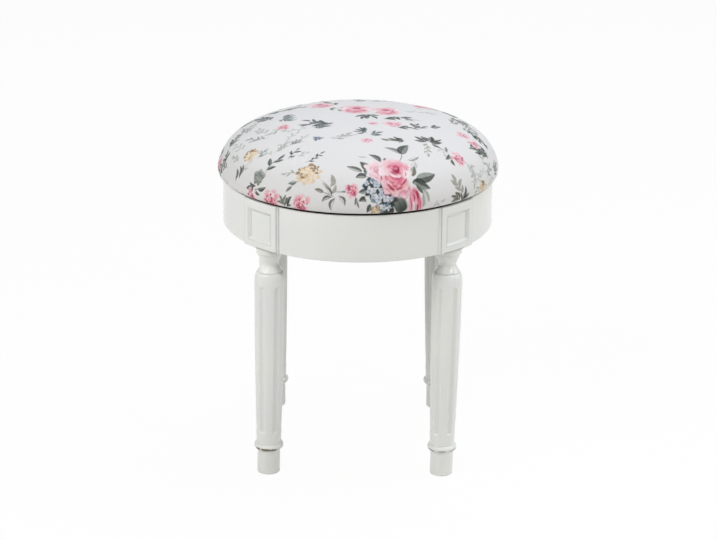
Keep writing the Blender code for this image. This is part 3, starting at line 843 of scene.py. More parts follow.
def blownCloth(path, run):  # cloth simulation: how far each point of a coarse disc swells
    rings = round(run[-1] / cushion["simPitch"])
    level, angle, start, faces = ringedDisc(rings)
    rest = clothPoints(path, run, level, angle, rings)
    fromHem = run[-1] * (1 - level / rings)
    worker = newObject("simCloth", meshFrom("simCloth", rest, faces), cottonMaterial)
    pins = worker.vertex_groups.new(name="pins")
    staplesRound = round(2 * math.pi * cushionRadius / cushion["stapleGap"])
    hold = np.clip(1.0 - (fromHem - cushion["hem"]) / cushion["pinFade"], 0.0, 1.0)
    swing = cushion["stapleHold"]
    gripped = 1 - swing + swing * np.cos(angle * staplesRound)
    hold *= np.where(fromHem < cushion["hem"], 1.0, gripped)
    for i in np.flatnonzero(hold > 0.02):
        pins.add([int(i)], float(hold[i]), "REPLACE")
    cloth = worker.modifiers.new("cloth", "CLOTH")
    for name, value in clothSettings.items():
        setattr(cloth.settings, name, value)
    cloth.settings.effector_weights.gravity = 0.0
    cloth.collision_settings.use_collision = False
    scene = bpy.context.scene
    for number in range(1, cushion["frames"] + 1):
        scene.frame_set(number)
    graph = bpy.context.evaluated_depsgraph_get()
    blown = bpy.data.meshes.new_from_object(worker.evaluated_get(graph))
    flat = np.empty(len(blown.vertices) * 3, np.float32)
    blown.vertices.foreach_get("co", flat)
    scene.frame_set(1)
    bpy.data.objects.remove(worker, do_unlink=True)
    moved = flat.reshape(-1, 3).astype(float) - rest
    reach = np.linalg.norm(moved, axis=1)
    print("cloth swelled", round(reach.max() * 1000, 2), "mm at most")
    cap = cushion["swellCap"]
    moved *= (cap * np.tanh(reach / cap) / np.maximum(reach, 1e-9))[:, None]
    return moved, rings, start


def cubic(t):  # weights of four neighbours in a smooth reading
    return (
        ((-0.5 * t + 1.0) * t - 0.5) * t,
        (1.5 * t - 2.5) * t * t + 1.0,
        ((-1.5 * t + 2.0) * t + 0.5) * t,
        (0.5 * t - 0.5) * t * t,
    )


def ringSample(values, rings, start, level, angle):  # smooth reading of ringed values anywhere on the disc
    base = np.minimum(np.floor(level).astype(int), rings - 1)
    total = np.zeros((len(level), 3))
    for step, weight in zip((-1, 0, 1, 2), cubic(level - base)):
        ring = np.clip(base + step, -rings, rings)
        turned = np.where(ring < 0, angle + math.pi, angle) % (2 * math.pi)
        ring = np.abs(ring)
        count = np.maximum(6 * ring, 1)
        spot = turned / (2 * math.pi) * count
        left = np.floor(spot).astype(int)
        for shift, share in zip((-1, 0, 1, 2), cubic(spot - left)):
            total += values[start[ring] + (left + shift) % count] * (weight * share)[:, None]
    return total


# cotton print: a rose chintz drawn motif by motif on the flat cloth, in millimetres
inks = {
    "ground": (238, 237, 236), "leafDark": (40, 46, 43), "leafMid": (80, 90, 82),
    "leafPale": (152, 160, 149), "olive": (76, 76, 62), "olivePale": (154, 153, 134), "teal": (50, 67, 72),
    "tealPale": (138, 156, 158), "grey": (126, 131, 125), "greyPale": (190, 193, 188),
    "wine": (148, 28, 60), "roseDeep": (208, 84, 114), "roseMid": (236, 148, 166),
    "rosePale": (248, 206, 213), "roseWhite": (253, 243, 244), "peach": (244, 190, 186),
    "slate": (38, 50, 58), "blue": (126, 146, 164), "bluePale": (212, 222, 231), "cream": (252, 237, 212),
    "gold": (216, 184, 138), "brown": (120, 88, 56), "violet": (84, 92, 130), "violetPale": (172, 178, 204),
    "umber": (80, 75, 66), "umberPale": (170, 164, 153),
}
paler = {
    "umber": "umberPale", "leafDark": "leafMid", "leafMid": "leafPale", "leafPale": "greyPale",
    "olive": "olivePale", "olivePale": "greyPale", "teal": "tealPale", "tealPale": "greyPale",
    "grey": "greyPale", "greyPale": "ground",
}
chintz = {
    "seed": 11,
    "edgeSoftness": 0.8,
    # rose, in units of its size: x, y, lean, long, wide, inks at foot and tip, share of white rim
    "rosePetals": [
        (-0.50, 0.52, 132, 0.48, 0.46, "peach", "rosePale", 0.5),
        (0.46, 0.50, 48, 0.42, 0.44, "roseMid", "rosePale", 0.5),
        (0.02, 0.66, 95, 0.36, 0.42, "roseMid", "rosePale", 0.4),
        (0.72, -0.02, 352, 0.36, 0.50, "rosePale", "roseWhite", 0.9),
        (-0.70, -0.04, 184, 0.38, 0.52, "rosePale", "roseWhite", 0.9),
        (-0.48, -0.58, 232, 0.50, 0.46, "roseMid", "rosePale", 0.5),
        (0.50, -0.56, 312, 0.50, 0.48, "roseMid", "peach", 0.4),
        (0.04, -0.84, 272, 0.42, 0.54, "roseDeep", "peach", 0.5),
        (0.30, -0.46, 300, 0.34, 0.44, "roseDeep", "roseMid", 0.5),
        (-0.22, -0.44, 250, 0.36, 0.44, "roseMid", "peach", 0.7),
        (0.06, 0.26, 84, 0.50, 0.42, "roseDeep", "roseMid", 0.3),
        (-0.28, 0.12, 205, 0.28, 0.44, "roseMid", "rosePale", 0.7),
        (0.36, 0.14, 338, 0.26, 0.42, "roseMid", "rosePale", 0.6),
        (0.05, -0.12, 268, 0.32, 0.42, "roseDeep", "rosePale", 0.9),
        (0.02, 0.22, 110, 0.22, 0.24, "wine", "roseMid", 0.2),
    ],
    # strokes over it: start, bend, end, width, ink
    "roseStrokes": [
        ((-0.20, 0.34), (0.02, 0.66), (0.26, 0.36), 0.09, "roseDeep"),
        ((0.24, 0.40), (0.20, 0.06), (-0.10, 0.12), 0.12, "wine"),
        ((-0.12, 0.30), (0.04, 0.54), (0.20, 0.28), 0.07, "wine"),
        ((-0.26, 0.02), (-0.02, -0.14), (0.26, 0.06), 0.08, "wine"),
        ((-0.10, 0.12), (-0.18, 0.34), (0.06, 0.38), 0.07, "roseDeep"),
        ((0.00, 0.26), (0.10, 0.34), (0.14, 0.20), 0.06, "rosePale"),
        ((-0.34, -0.06), (0.04, -0.40), (0.42, -0.04), 0.10, "roseWhite"),
        ((-0.36, -0.22), (0.06, -0.60), (0.46, -0.20), 0.10, "roseDeep"),
        ((-0.56, -0.30), (-0.16, -0.76), (0.26, -0.74), 0.08, "roseDeep"),
        ((-0.40, -0.78), (-0.10, -0.96), (0.22, -0.98), 0.09, "wine"),
        ((0.40, -0.72), (0.66, -0.60), (0.76, -0.30), 0.07, "roseDeep"),
        ((-0.62, 0.24), (-0.50, 0.40), (-0.32, 0.44), 0.06, "roseDeep"),
        ((0.34, 0.62), (0.56, 0.52), (0.66, 0.30), 0.05, "roseMid"),
    ],
    # double flowers: rings of petals as count, how far out, length, number of kinds; then the kinds
    "pinkRings": [(9, 0.68, 0.31, 3), (7, 0.42, 0.28, 4), (4, 0.16, 0.24, 4)],
    "pinkPetals": [
        ("rosePale", "roseWhite"), ("roseMid", "rosePale"), ("roseMid", "peach"), ("roseDeep", "roseMid"),
    ],
    # half-open rose: petals as x, y, lean, long, wide, inks; strokes as x, y, length, width, ink
    "budPetals": [
        (0.0, 0.30, 0.2, 0.95, 0.26, "roseMid", "rosePale"),
        (0.0, -0.30, -0.2, 0.95, 0.26, "roseMid", "rosePale"),
        (-0.1, 0.14, 0.1, 0.85, 0.2, "roseDeep", "roseMid"),
        (0.05, -0.04, 0.0, 0.8, 0.2, "roseMid", "roseWhite"),
    ],
    "budStrokes": [
        (-0.55, 0.20, 0.5, 3.4, "wine"), (0.40, 0.12, 0.6, 3.2, "wine"), (0.10, 0.36, 0.9, 2.0, "roseDeep"),
        (0.25, -0.16, 0.8, 3.4, "roseWhite"), (0.30, -0.06, 0.5, 1.6, "leafPale"),
        (0.00, -0.40, 0.9, 2.2, "roseDeep"), (-0.40, -0.10, 0.5, 2.0, "wine"),
    ],
    # leaves of the bouquet around its rose: x, y, lean, long, wide, ink
    "bouquetLeaves": [
        (-47, -5, 155, 23, 8, "olive"), (-42, -2, 116, 18, 10, "leafDark"), (-33, -14, 134, 17, 8, "slate"),
        (-41, -13, 188, 15, 9, "leafDark"), (-22, 16, 137, 22, 8, "leafDark"),
        (-17, 18, 60, 9, 4, "leafMid"), (-41, 25, 170, 12, 4, "greyPale"), (5, 39, 151, 25, 8, "leafMid"),
        (6, 38, 70, 27, 14, "leafDark"), (16, 27, 42, 19, 7, "grey"), (20, 10, 72, 17, 9, "greyPale"),
        (23, -2, 86, 17, 9, "olive"), (29, -5, 34, 31, 15, "leafDark"), (24, -12, 22, 20, 10, "slate"),
        (25, -8, 354, 27, 12, "leafDark"), (30, -13, 330, 18, 8, "leafDark"),
        (41, -16, 320, 20, 8, "leafPale"), (43, -22, 290, 18, 9, "leafPale"),
        (-40, -32, 200, 12, 7, "slate"), (-42, -42, 215, 11, 6, "leafDark"), (-40, -48, 170, 9, 5, "olive"),
        (-34, -52, 250, 12, 7, "leafDark"), (-15, -60, 262, 12, 6, "leafDark"),
        (-3, -56, 250, 12, 7, "leafDark"), (0, -52, 290, 12, 6, "leafDark"),
    ],
    "hydrangeaLobes": [(-35, -25, 9), (-27, -36, 13), (-14, -50, 14), (-6, -43, 8)],
    "berries": [(3, -41, 3.2), (-1, -47, 2.6), (0, -56, 3.2), (-5, -61, 2.6), (-20, -27, 2.2)],
    "bouquets": [((52, -166), 0), ((-100, 140), 150), ((158, 112), -125)],
    "roses": [
        ((-54, 74), 20, 15, 0.3), ((-4, 44), -10, 19, 0.2), ((38, 36), 15, 17, 0.2),
        ((46, -28), 60, 11, 0.4), ((-178, 76), 110, 18, 0.1), ((34, 182), 170, 20, 0.1),
    ],
    "pinks": [
        ((-169, -155), 250, 14, 0.0), ((-135, -181), 230, 16, 0.0), ((-88, -208), 255, 17, 0.0),
        ((-9, -200), 120, 12, 0.1), ((139, -105), 300, 13, 0.25), ((146, -30), 20, 12, 0.45),
        ((164, -44), 340, 11, 0.35), ((20, -28), 200, 8, 0.4), ((-103, -28), 200, 11, 0.2),
        ((12, -94), 270, 9, 0.5), ((88, 88), 80, 12, 0.2), ((-30, 128), 100, 12, 0.2),
        ((-214, -28), 180, 13, 0.2), ((196, 44), 10, 13, 0.2), ((110, 196), 40, 13, 0.2),
    ],
    "posies": [((-150, -89), 60, 13), ((-69, -166), 0, 19), ((199, -114), -60, 14), ((72, 146), 130, 18)],
    "greyBuds": [((-142, -139), 40, 13), ((150, 40), 10, 12), ((-30, 216), 100, 12)],
    "violets": [((-56, -84), 10), ((112, 88), 130), ((-120, 66), 60), ((0, 214), 90)],
    # start, heading, length, number of leaves, length of a leaf, ink
    "sprigs": [
        ((-131, -140), 38, 26, 4, 15, "leafDark"), ((-151, -149), 152, 10, 3, 13, "leafDark"),
        ((-157, -152), 338, 8, 2, 14, "leafDark"), ((-96, -128), 55, 20, 4, 9, "leafDark"),
        ((-84, -126), 20, 12, 3, 9, "greyPale"), ((-72, -144), 36, 26, 6, 7, "leafDark"),
        ((-86, -160), 160, 14, 3, 9, "leafPale"), ((-84, -174), 200, 12, 2, 12, "leafMid"),
        ((-52, -180), 305, 22, 2, 6, "greyPale"), ((-38, -206), 88, 20, 4, 13, "umberPale"),
        ((-36, -206), 150, 16, 2, 13, "umber"), ((-38, -206), 196, 8, 1, 16, "umber"),
        ((-34, -208), 245, 5, 1, 16, "umber"), ((-28, -206), 300, 5, 1, 16, "umber"),
        ((-12, -203), 172, 22, 1, 9, "leafMid"), ((-4, -208), 290, 8, 2, 9, "olive"),
        ((-140, -104), 40, 12, 3, 10, "leafMid"), ((-166, -110), 20, 12, 2, 9, "greyPale"),
        ((-185, -112), 62, 7, 1, 16, "leafDark"), ((-177, -115), 66, 8, 1, 16, "leafDark"),
        ((-169, -112), 70, 7, 1, 14, "leafMid"), ((-207, -98), 100, 14, 3, 8, "greyPale"),
        ((-100, -84), 60, 28, 5, 10, "greyPale"), ((-118, -112), 130, 26, 5, 10, "greyPale"),
        ((-124, -58), 150, 30, 6, 12, "grey"), ((-128, -40), 110, 26, 5, 12, "leafPale"),
        ((-160, -66), 118, 26, 5, 11, "greyPale"), ((-194, -74), 112, 32, 7, 11, "leafMid"),
        ((-208, -64), 115, 22, 4, 12, "leafDark"), ((-150, -6), 120, 26, 6, 11, "leafPale"),
        ((-90, -30), 200, 30, 5, 12, "leafPale"), ((-34, -32), 172, 36, 7, 15, "leafDark"),
        ((-44, -26), 150, 26, 4, 14, "slate"), ((-66, -40), 190, 30, 5, 11, "greyPale"),
        ((-34, -88), 40, 22, 4, 11, "grey"), ((-44, -84), 12, 34, 5, 11, "greyPale"),
        ((-70, -92), 175, 34, 5, 11, "greyPale"), ((12, -66), 172, 9, 4, 12, "teal"),
        ((20, 20), 60, 20, 3, 15, "leafMid"), ((52, 8), 330, 14, 3, 16, "leafDark"),
        ((62, 40), 10, 26, 4, 12, "greyPale"), ((-30, 70), 120, 20, 3, 17, "leafDark"),
        ((-76, 74), 190, 22, 4, 17, "leafMid"), ((-36, 56), 300, 16, 3, 15, "leafMid"),
        ((56, -98), 110, 10, 4, 11, "olive"), ((52, -93), 165, 8, 2, 13, "olive"),
        ((99, -28), 30, 6, 3, 11, "leafDark"), ((92, -84), 275, 30, 6, 9, "olivePale"),
        ((104, -84), 300, 26, 5, 9, "greyPale"), ((124, -100), 150, 14, 2, 13, "leafMid"),
        ((150, -104), 350, 22, 4, 9, "greyPale"), ((182, -82), 100, 30, 6, 11, "leafPale"),
        ((160, -98), 300, 30, 5, 9, "leafPale"), ((176, -110), 60, 30, 6, 8, "greyPale"),
        ((196, -108), 250, 20, 4, 10, "leafPale"), ((200, -60), 70, 26, 5, 11, "grey"),
        ((166, -130), 60, 24, 4, 11, "greyPale"), ((-104, -208), 200, 10, 2, 12, "leafDark"),
        ((112, -204), 50, 24, 4, 10, "greyPale"), ((128, 6), 80, 34, 6, 14, "leafMid"),
        ((76, 64), 30, 32, 5, 12, "greyPale"), ((-4, 92), 80, 30, 5, 15, "leafMid"),
        ((14, 104), 30, 30, 5, 14, "grey"), ((-140, 54), 190, 34, 6, 14, "leafMid"),
        ((-200, 18), 100, 34, 6, 14, "leafDark"), ((-40, 168), 140, 32, 5, 14, "leafMid"),
        ((70, 200), 30, 30, 5, 14, "teal"), ((130, 176), 60, 30, 5, 14, "grey"),
        ((-160, 152), 160, 32, 5, 15, "leafDark"), ((206, 84), 80, 30, 5, 14, "leafDark"),
        ((20, 146), 20, 30, 5, 13, "leafPale"), ((-74, 208), 110, 30, 5, 14, "leafDark"),
        ((205, 10), 60, 34, 6, 13, "leafMid"), ((-115, -106), 48, 18, 6, 9, "leafPale"),
        ((-95, -95), 38, 16, 6, 9, "grey"), ((-80, -80), 47, 10, 4, 8, "greyPale"),
        ((-187, -33), 63, 29, 8, 12, "leafDark"), ((-179, -34), 69, 38, 8, 12, "grey"),
        ((-196, -56), 70, 14, 5, 12, "leafDark"), ((-116, -200), 93, 8, 4, 12, "olive"),
        ((-113, -202), 36, 6, 3, 11, "leafDark"), ((-121, 17), 124, 33, 8, 16, "slate"),
        ((-105, 12), 325, 11, 5, 12, "tealPale"), ((-108, 18), 20, 12, 5, 12, "teal"),
        ((-112, 10), 330, 14, 5, 11, "leafMid"), ((62, -8), 10, 16, 5, 9, "greyPale"),
        ((-63, -42), 32, 18, 7, 14, "slate"), ((10, 16), 255, 10, 4, 17, "leafDark"),
        ((13, 16), 300, 9, 4, 16, "leafDark"), ((33, -5), 20, 13, 5, 14, "leafDark"),
        ((10, -61), 124, 5, 4, 13, "slate"), ((15, -73), 28, 10, 4, 13, "teal"),
        ((52, -40), 2, 13, 5, 11, "leafDark"), ((71, -44), 34, 20, 6, 11, "leafMid"),
        ((74, -35), 61, 9, 3, 11, "leafDark"), ((96, -82), 152, 9, 5, 14, "leafDark"),
        ((96, -82), 40, 9, 6, 14, "leafDark"), ((63, -91), 166, 15, 5, 11, "leafDark"),
        ((123, -103), 301, 12, 3, 12, "leafDark"), ((191, -48), 207, 27, 8, 14, "leafDark"),
        ((186, -43), 190, 23, 7, 14, "leafDark"), ((189, -56), 159, 8, 4, 14, "leafMid"),
        ((141, 43), 307, 35, 8, 12, "grey"), ((147, 14), 316, 32, 8, 12, "leafMid"),
        ((134, 47), 319, 17, 5, 12, "leafMid"), ((158, -3), 317, 28, 7, 13, "leafDark"),
        ((169, -166), 146, 32, 7, 15, "umberPale"), ((170, -162), 117, 7, 4, 14, "leafDark"),
        ((162, -163), 199, 10, 4, 13, "olive"), ((174, -120), 152, 16, 6, 8, "greyPale"),
        ((196, -90), 93, 22, 6, 9, "grey"), ((-172, 39), 34, 14, 5, 10, "leafMid"),
        ((-84, 71), 8, 18, 6, 10, "grey"), ((-131, 70), 345, 16, 6, 12, "leafMid"),
        ((93, 50), 336, 11, 5, 9, "greyPale"), ((-172, -86), 110, 17, 5, 8, "leafPale"),
        ((-150, 8), 60, 19, 6, 9, "leafPale"), ((-206, -20), 80, 20, 6, 12, "leafMid"),
        ((-160, -12), 75, 26, 7, 10, "leafPale"), ((214, -64), 100, 22, 6, 10, "leafMid"),
        ((205, -96), 75, 19, 5, 9, "greyPale"), ((120, 86), 320, 17, 6, 11, "leafDark"),
    ],
}
goldenTurn = 2.39996  # radians between neighbours of a seed head


def ink(name):
    return np.array(inks[name], float) / 255


def faded(name, pallor):
    return ink(name) + (ink("roseWhite") - ink(name)) * pallor


def heading(turn):
    return np.array([math.cos(turn), math.sin(turn)])


class ClothPrint:
    def __init__(self, across, along):
        self.x = across * 1000
        self.y = along * 1000
        self.rgb = np.tile(ink("ground"), (len(across), 1))
        self.chance = np.random.default_rng(chintz["seed"])
        self.pigment = np.zeros(len(across))
        for wave in (0.45, 0.8, 1.3, 2.1):  # slow and quick swirls of wet colour
            turn, phase = self.chance.uniform(0, 2 * math.pi, 2)
            self.pigment += np.sin(wave * (self.x * math.cos(turn) + self.y * math.sin(turn)) + phase) / 4

    def near(self, at, turn, reach):
        found = np.flatnonzero((np.abs(self.x - at[0]) < reach) & (np.abs(self.y - at[1]) < reach))
        dx = self.x[found] - at[0]
        dy = self.y[found] - at[1]
        return found, dx * math.cos(turn) + dy * math.sin(turn), dy * math.cos(turn) - dx * math.sin(turn)

    def within(self, distance):  # 1 inside an outline, 0 outside, from the distance inwards
        return np.clip(0.5 + distance / chintz["edgeSoftness"], 0.0, 1.0)

    def wash(self, found, cover, colour):
        cover = (cover * (0.92 + 0.08 * self.pigment[found]))[:, None]
        self.rgb[found] += cover * (colour - self.rgb[found])

    def leaf(self, base, turn, length, width, tone):  # dark outline and rib, one half pale
        found, u, v = self.near(base, turn, length * 1.15)
        middle = paler.get(tone, "leafMid")
        dark, pale = ink(tone), ink(paler.get(middle, "ground"))
        share = np.clip(u / length, 0.0, 1.0)
        v = v - self.chance.uniform(-0.18, 0.18) * length * share * (1 - share) * 4
        side = self.chance.choice([-1.0, 1.0])
        half = width / 2 * np.sin(np.pi * share ** 0.8) ** 0.8 * (1 + 0.06 * np.sin(u * 2.1))
        inwards = np.minimum(half - np.abs(v), np.minimum(u, length - u) * 0.6)
        low, high = self.chance.uniform(0.0, 0.3), self.chance.uniform(0.6, 1.0)
        lit = low + (high - low) * np.clip(0.4 + side * v / (0.14 * width), 0.0, 1.0)
        veins = np.clip(np.cos((u - np.abs(v) * 1.2) * 2 * np.pi / 3.2), 0.0, 1.0)
        lit = lit + 0.2 * veins * (np.abs(v) > 0.5) + 0.25 * self.pigment[found]
        rim = np.clip(1 - inwards / 1.1, 0.0, 1.0) * 0.6 + np.exp(-(v / 0.5) ** 2) * 0.3
        colour = dark + (pale - dark) * np.clip(lit - rim, 0.0, 1.0)[:, None]
        self.wash(found, self.within(inwards) * 0.94, colour)

    def stroke(self, start, bend, end, width, colour, cover=0.85):  # brush mark, thin at both ends
        t = np.linspace(0.0, 1.0, 26)[:, None]
        line = start * (1 - t) ** 2 + bend * 2 * t * (1 - t) + end * t ** 2
        girth = width / 2 * np.sin(np.pi * (0.08 + 0.84 * t[:, 0])) ** 0.7
        middle = line.mean(axis=0)
        found, u, v = self.near(middle, 0.0, np.abs(line - middle).max() + width)
        gap = np.hypot(u[:, None] - (line[:, 0] - middle[0]), v[:, None] - (line[:, 1] - middle[1]))
        self.wash(found, self.within((girth - gap).max(axis=1)) * cover, colour)

    def petal(self, at, turn, long, wide, foot, tip, rim=0.5, shadow=0.25):  # uneven oval, pale at its tip
        found, u, v = self.near(at, turn, max(long, wide) * 1.5)
        phase = self.chance.uniform(0, 2 * math.pi, 2)
        around = np.arctan2(v / wide, u / long)
        ragged = 1 + 0.08 * np.sin(3 * around + phase[0]) + 0.05 * np.sin(5 * around + phase[1])
        apart = np.hypot(u / long, v / wide) / ragged
        self.wash(found, np.clip((1.3 - apart) / 0.3, 0.0, 1.0) * shadow, foot * 0.92)
        tone = np.clip(0.5 + 0.55 * u / long + 0.3 * self.pigment[found], 0.0, 1.0)
        colour = foot + (tip - foot) * tone[:, None]
        edge = np.clip((apart - 0.6) / 0.32, 0.0, 1.0) * np.clip(0.35 + u / long, 0.0, 1.0) * rim
        colour = colour + (ink("roseWhite") - colour) * edge[:, None]
        self.wash(found, self.within((1 - apart) * min(long, wide)), colour)

    def dab(self, at, turn, long, wide, tone, rim=0.0, shadow=0.0):  # petal of one ink
        self.petal(at, turn, long, wide, tone, tone, rim, shadow)

    def rose(self, at, turn, size, pallor=0.0, stretch=1.0):
        ahead, over = heading(turn) * size, heading(turn + math.pi / 2) * size * stretch

        def outwards(around):
            return math.cos(around) * ahead + math.sin(around) * over

        for i in range(9):  # a loose skirt breaks the outline
            around = turn + 0.7 * i + self.chance.normal(0, 0.15)
            spot = at + self.chance.uniform(0.85, 1.12) * outwards(around)
            long = size * self.chance.uniform(0.2, 0.36)
            tone = faded(("rosePale", "roseMid", "roseWhite")[i % 3], pallor)
            self.petal(spot, around, long, long * 0.7, tone, faded("roseWhite", pallor), 0.2)
        for x, y, lean, long, wide, foot, tip, rim in chintz["rosePetals"]:
            spot = at + x * ahead + y * over + self.chance.normal(0, 0.03 * size, 2)
            grow = self.chance.uniform(0.92, 1.1) * size
            lean = turn + math.radians(lean) + self.chance.normal(0, 0.12)
            self.petal(spot, lean, long * grow, wide * grow, faded(foot, pallor), faded(tip, pallor), rim)
        for start, bend, end, width, tone in chintz["roseStrokes"]:
            marks = [at + x * ahead + y * over for x, y in (start, bend, end)]
            self.stroke(*marks, max(width * size, 1.1), faded(tone, pallor), 0.8)
        for i in range(round(1.3 * size)):  # short dark and pale marks, most along the lower petals
            around = self.chance.normal(-1.57, 1.1)
            spot = at + self.chance.uniform(0.5, 1.05) * outwards(around)
            sweep = (math.cos(around) * over - math.sin(around) * ahead) * self.chance.uniform(0.1, 0.2)
            tone = faded(("roseDeep", "wine", "roseWhite", "roseDeep")[i % 4], pallor)
            self.stroke(spot - sweep, spot + (spot - at) * 0.1, spot + sweep, 1.5, tone, 0.75)

    def pink(self, at, turn, size, pallor):  # small double flower: blotchy petals, dark broken heart
        for count, out, long, kinds in chintz["pinkRings"]:
            for i in range(count):
                a = turn + 2 * math.pi * i / count + self.chance.normal(0, 0.25)
                spot = at + size * (out + self.chance.normal(0, 0.06)) * heading(a)
                pair = chintz["pinkPetals"][self.chance.integers(0, kinds)]
                foot, tip = (faded(name, pallor) for name in pair)
                self.petal(spot, a, size * long, size * long * 0.75, foot, tip, 0.5, 0.4)
        for i in range(13):
            a = turn + self.chance.uniform(0, 2 * math.pi)
            spot = at + size * self.chance.uniform(0.04, 0.62) * heading(a)
            sweep = heading(a + self.chance.uniform(0.9, 2.0)) * size * self.chance.uniform(0.1, 0.24)
            tone = faded(("wine", "wine", "roseDeep", "roseWhite")[i % 4], pallor)
            self.stroke(spot - sweep, spot + heading(a) * size * 0.1, spot + sweep, 1.6, tone, 0.8)
        for i in range(9):
            spot = at + size * self.chance.uniform(0.1, 0.75) * heading(turn + i * goldenTurn)
            long = size * self.chance.uniform(0.06, 0.12)
            self.dab(spot, i, long, long * 0.7, faded(("wine", "roseDeep")[i % 2], pallor), 0.0, 0.2)

    def bud(self, at, turn, size):  # half-open rose seen from its side
        ahead, over = heading(turn) * size, heading(turn + math.pi / 2) * size
        for x, y, lean, long, wide, foot, tip in chintz["budPetals"]:
            spot = at + x * ahead + y * over
            self.petal(spot, turn + lean, long * size, wide * size, ink(foot), ink(tip), 0.6)
        for x, y, along, width, tone in chintz["budStrokes"]:
            spot = at + x * ahead + y * over
            sweep = ahead * along / 2
            self.stroke(spot - sweep, spot + over * 0.08, spot + sweep, width, ink(tone))

    def sprig(self, at, turn, length, leaves, leafLength, tone):
        bow = self.chance.uniform(-0.2, 0.2) * length
        end = at + heading(turn) * length
        middle = (at + end) / 2 + heading(turn + math.pi / 2) * bow
        self.stroke(at, middle, end, 1.2, ink(tone), 0.75)
        for i in range(leaves):
            t = 0.2 + 0.8 * i / max(leaves - 1, 1)
            spot = at * (1 - t) ** 2 + middle * 2 * t * (1 - t) + end * t ** 2
            lean = 0.0 if i == leaves - 1 else (0.8 if i % 2 else -0.8) * self.chance.uniform(0.6, 1.2)
            size = leafLength * self.chance.uniform(0.8, 1.15)
            self.leaf(spot, turn + lean, size, size * self.chance.uniform(0.3, 0.46), tone)

    def floret(self, at, size, outer, inner):
        first = self.chance.uniform(0, 2 * math.pi)
        for a in first + np.arange(4) * math.pi / 2:
            self.petal(at + size * 0.55 * heading(a), a, size * 0.5, size * 0.46, inner, outer, 0.35, 0.2)
        self.dab(at, 0.0, size * 0.2, size * 0.2, inner * 0.7)

    def hydrangea(self, lobes, place):  # white florets, bluish at the heart, over slate gaps
        for x, y, reach in lobes:
            for i in range(round(reach * 1.6)):
                spot = place(x, y) + reach * 0.95 * math.sqrt(self.chance.uniform(0, 1)) * heading(i * 2.4)
                tone = ink(("slate", "slate", "teal", "blue")[i % 4])
                self.dab(spot, i * 1.7, self.chance.uniform(2.8, 5.4), 2.7, tone)
        inner = ink("blue") * 0.25 + ink("bluePale") * 0.75
        for x, y, reach in lobes:
            count = round(reach * reach / 36)
            for i in range(count):
                out = reach * 0.95 * math.sqrt((i + 0.5) / count)
                spot = place(x, y) + out * heading(i * goldenTurn + x) + self.chance.normal(0, 0.8, 2)
                outer = ink("roseWhite" if i % 4 else "bluePale")
                self.floret(spot, self.chance.uniform(3.6, 5.2), outer, inner)

    def posy(self, at, turn, size):  # cream petals with brown between them, ragged at the edge
        tan = ink("brown") * 0.5 + ink("gold") * 0.5
        peach = ink("gold") * 0.45 + ink("cream") * 0.55
        for i in range(13):
            spot = at + size * self.chance.uniform(0.55, 0.85) * heading(turn + i * goldenTurn)
            tone = tan if spot[1] > at[1] + 0.1 * size else peach
            self.dab(spot, i * 1.1, size * 0.22, size * 0.16, tone, 0.1, 0.1)
        for i in range(15):
            around = turn + i * goldenTurn
            spot = at + size * 0.68 * math.sqrt((14.5 - i) / 15) * heading(around)
            long = size * self.chance.uniform(0.18, 0.27)
            lean = around + self.chance.normal(0, 0.8)
            foot = peach if i % 4 else tan
            self.petal(spot, lean, long, long * self.chance.uniform(0.6, 0.9), foot, ink("cream"), 0.6, 0.4)
        for i in range(9):
            upper = 1.0 + self.chance.normal(0, 0.8) if i < 6 else -1.2 + 0.6 * i
            spot = at + size * self.chance.uniform(0.35, 0.85) * heading(upper)
            sweep = heading(i * 1.9) * size * 0.1
            self.stroke(spot - sweep, spot + sweep[::-1], spot + sweep, size * 0.13, ink("brown"))

    def greyBud(self, at, turn, size):  # pale scales with dark edges
        ahead, edge = heading(turn) * size, heading(turn + 1.57) * size * 0.2
        scales = 13
        reaches = size * 0.66 * np.sqrt((np.arange(scales) + 0.5) / scales)
        spots = [at + reach * heading(turn + i * goldenTurn) for i, reach in enumerate(reaches)]
        for spot in spots:
            self.petal(spot, turn, size * 0.34, size * 0.28, ink("grey"), ink("greyPale"), 0.0, 0.0)
        for spot in spots:
            low = spot - ahead * 0.1
            self.stroke(low + edge, low - ahead * 0.25, low - edge, 1.1, ink("leafMid"), 0.55)

    def violet(self, at, turn):  # few dark petals among small leaves
        for lean in turn + np.arange(3) * 2.1:
            self.leaf(at + 1.5 * heading(lean), lean, self.chance.uniform(6, 9), 3.0, "slate")
            self.petal(at + 3.4 * heading(lean + 1), lean, 3.0, 2.2, ink("violet"), ink("violetPale"), 0.2)

    def bouquet(self, at, turn):
        def place(x, y):
            return at + x * heading(turn) + y * heading(turn + math.pi / 2)

        def line(spots, width, tone, cover):
            self.stroke(*(place(x, y) for x, y in spots), width, ink(tone), cover)

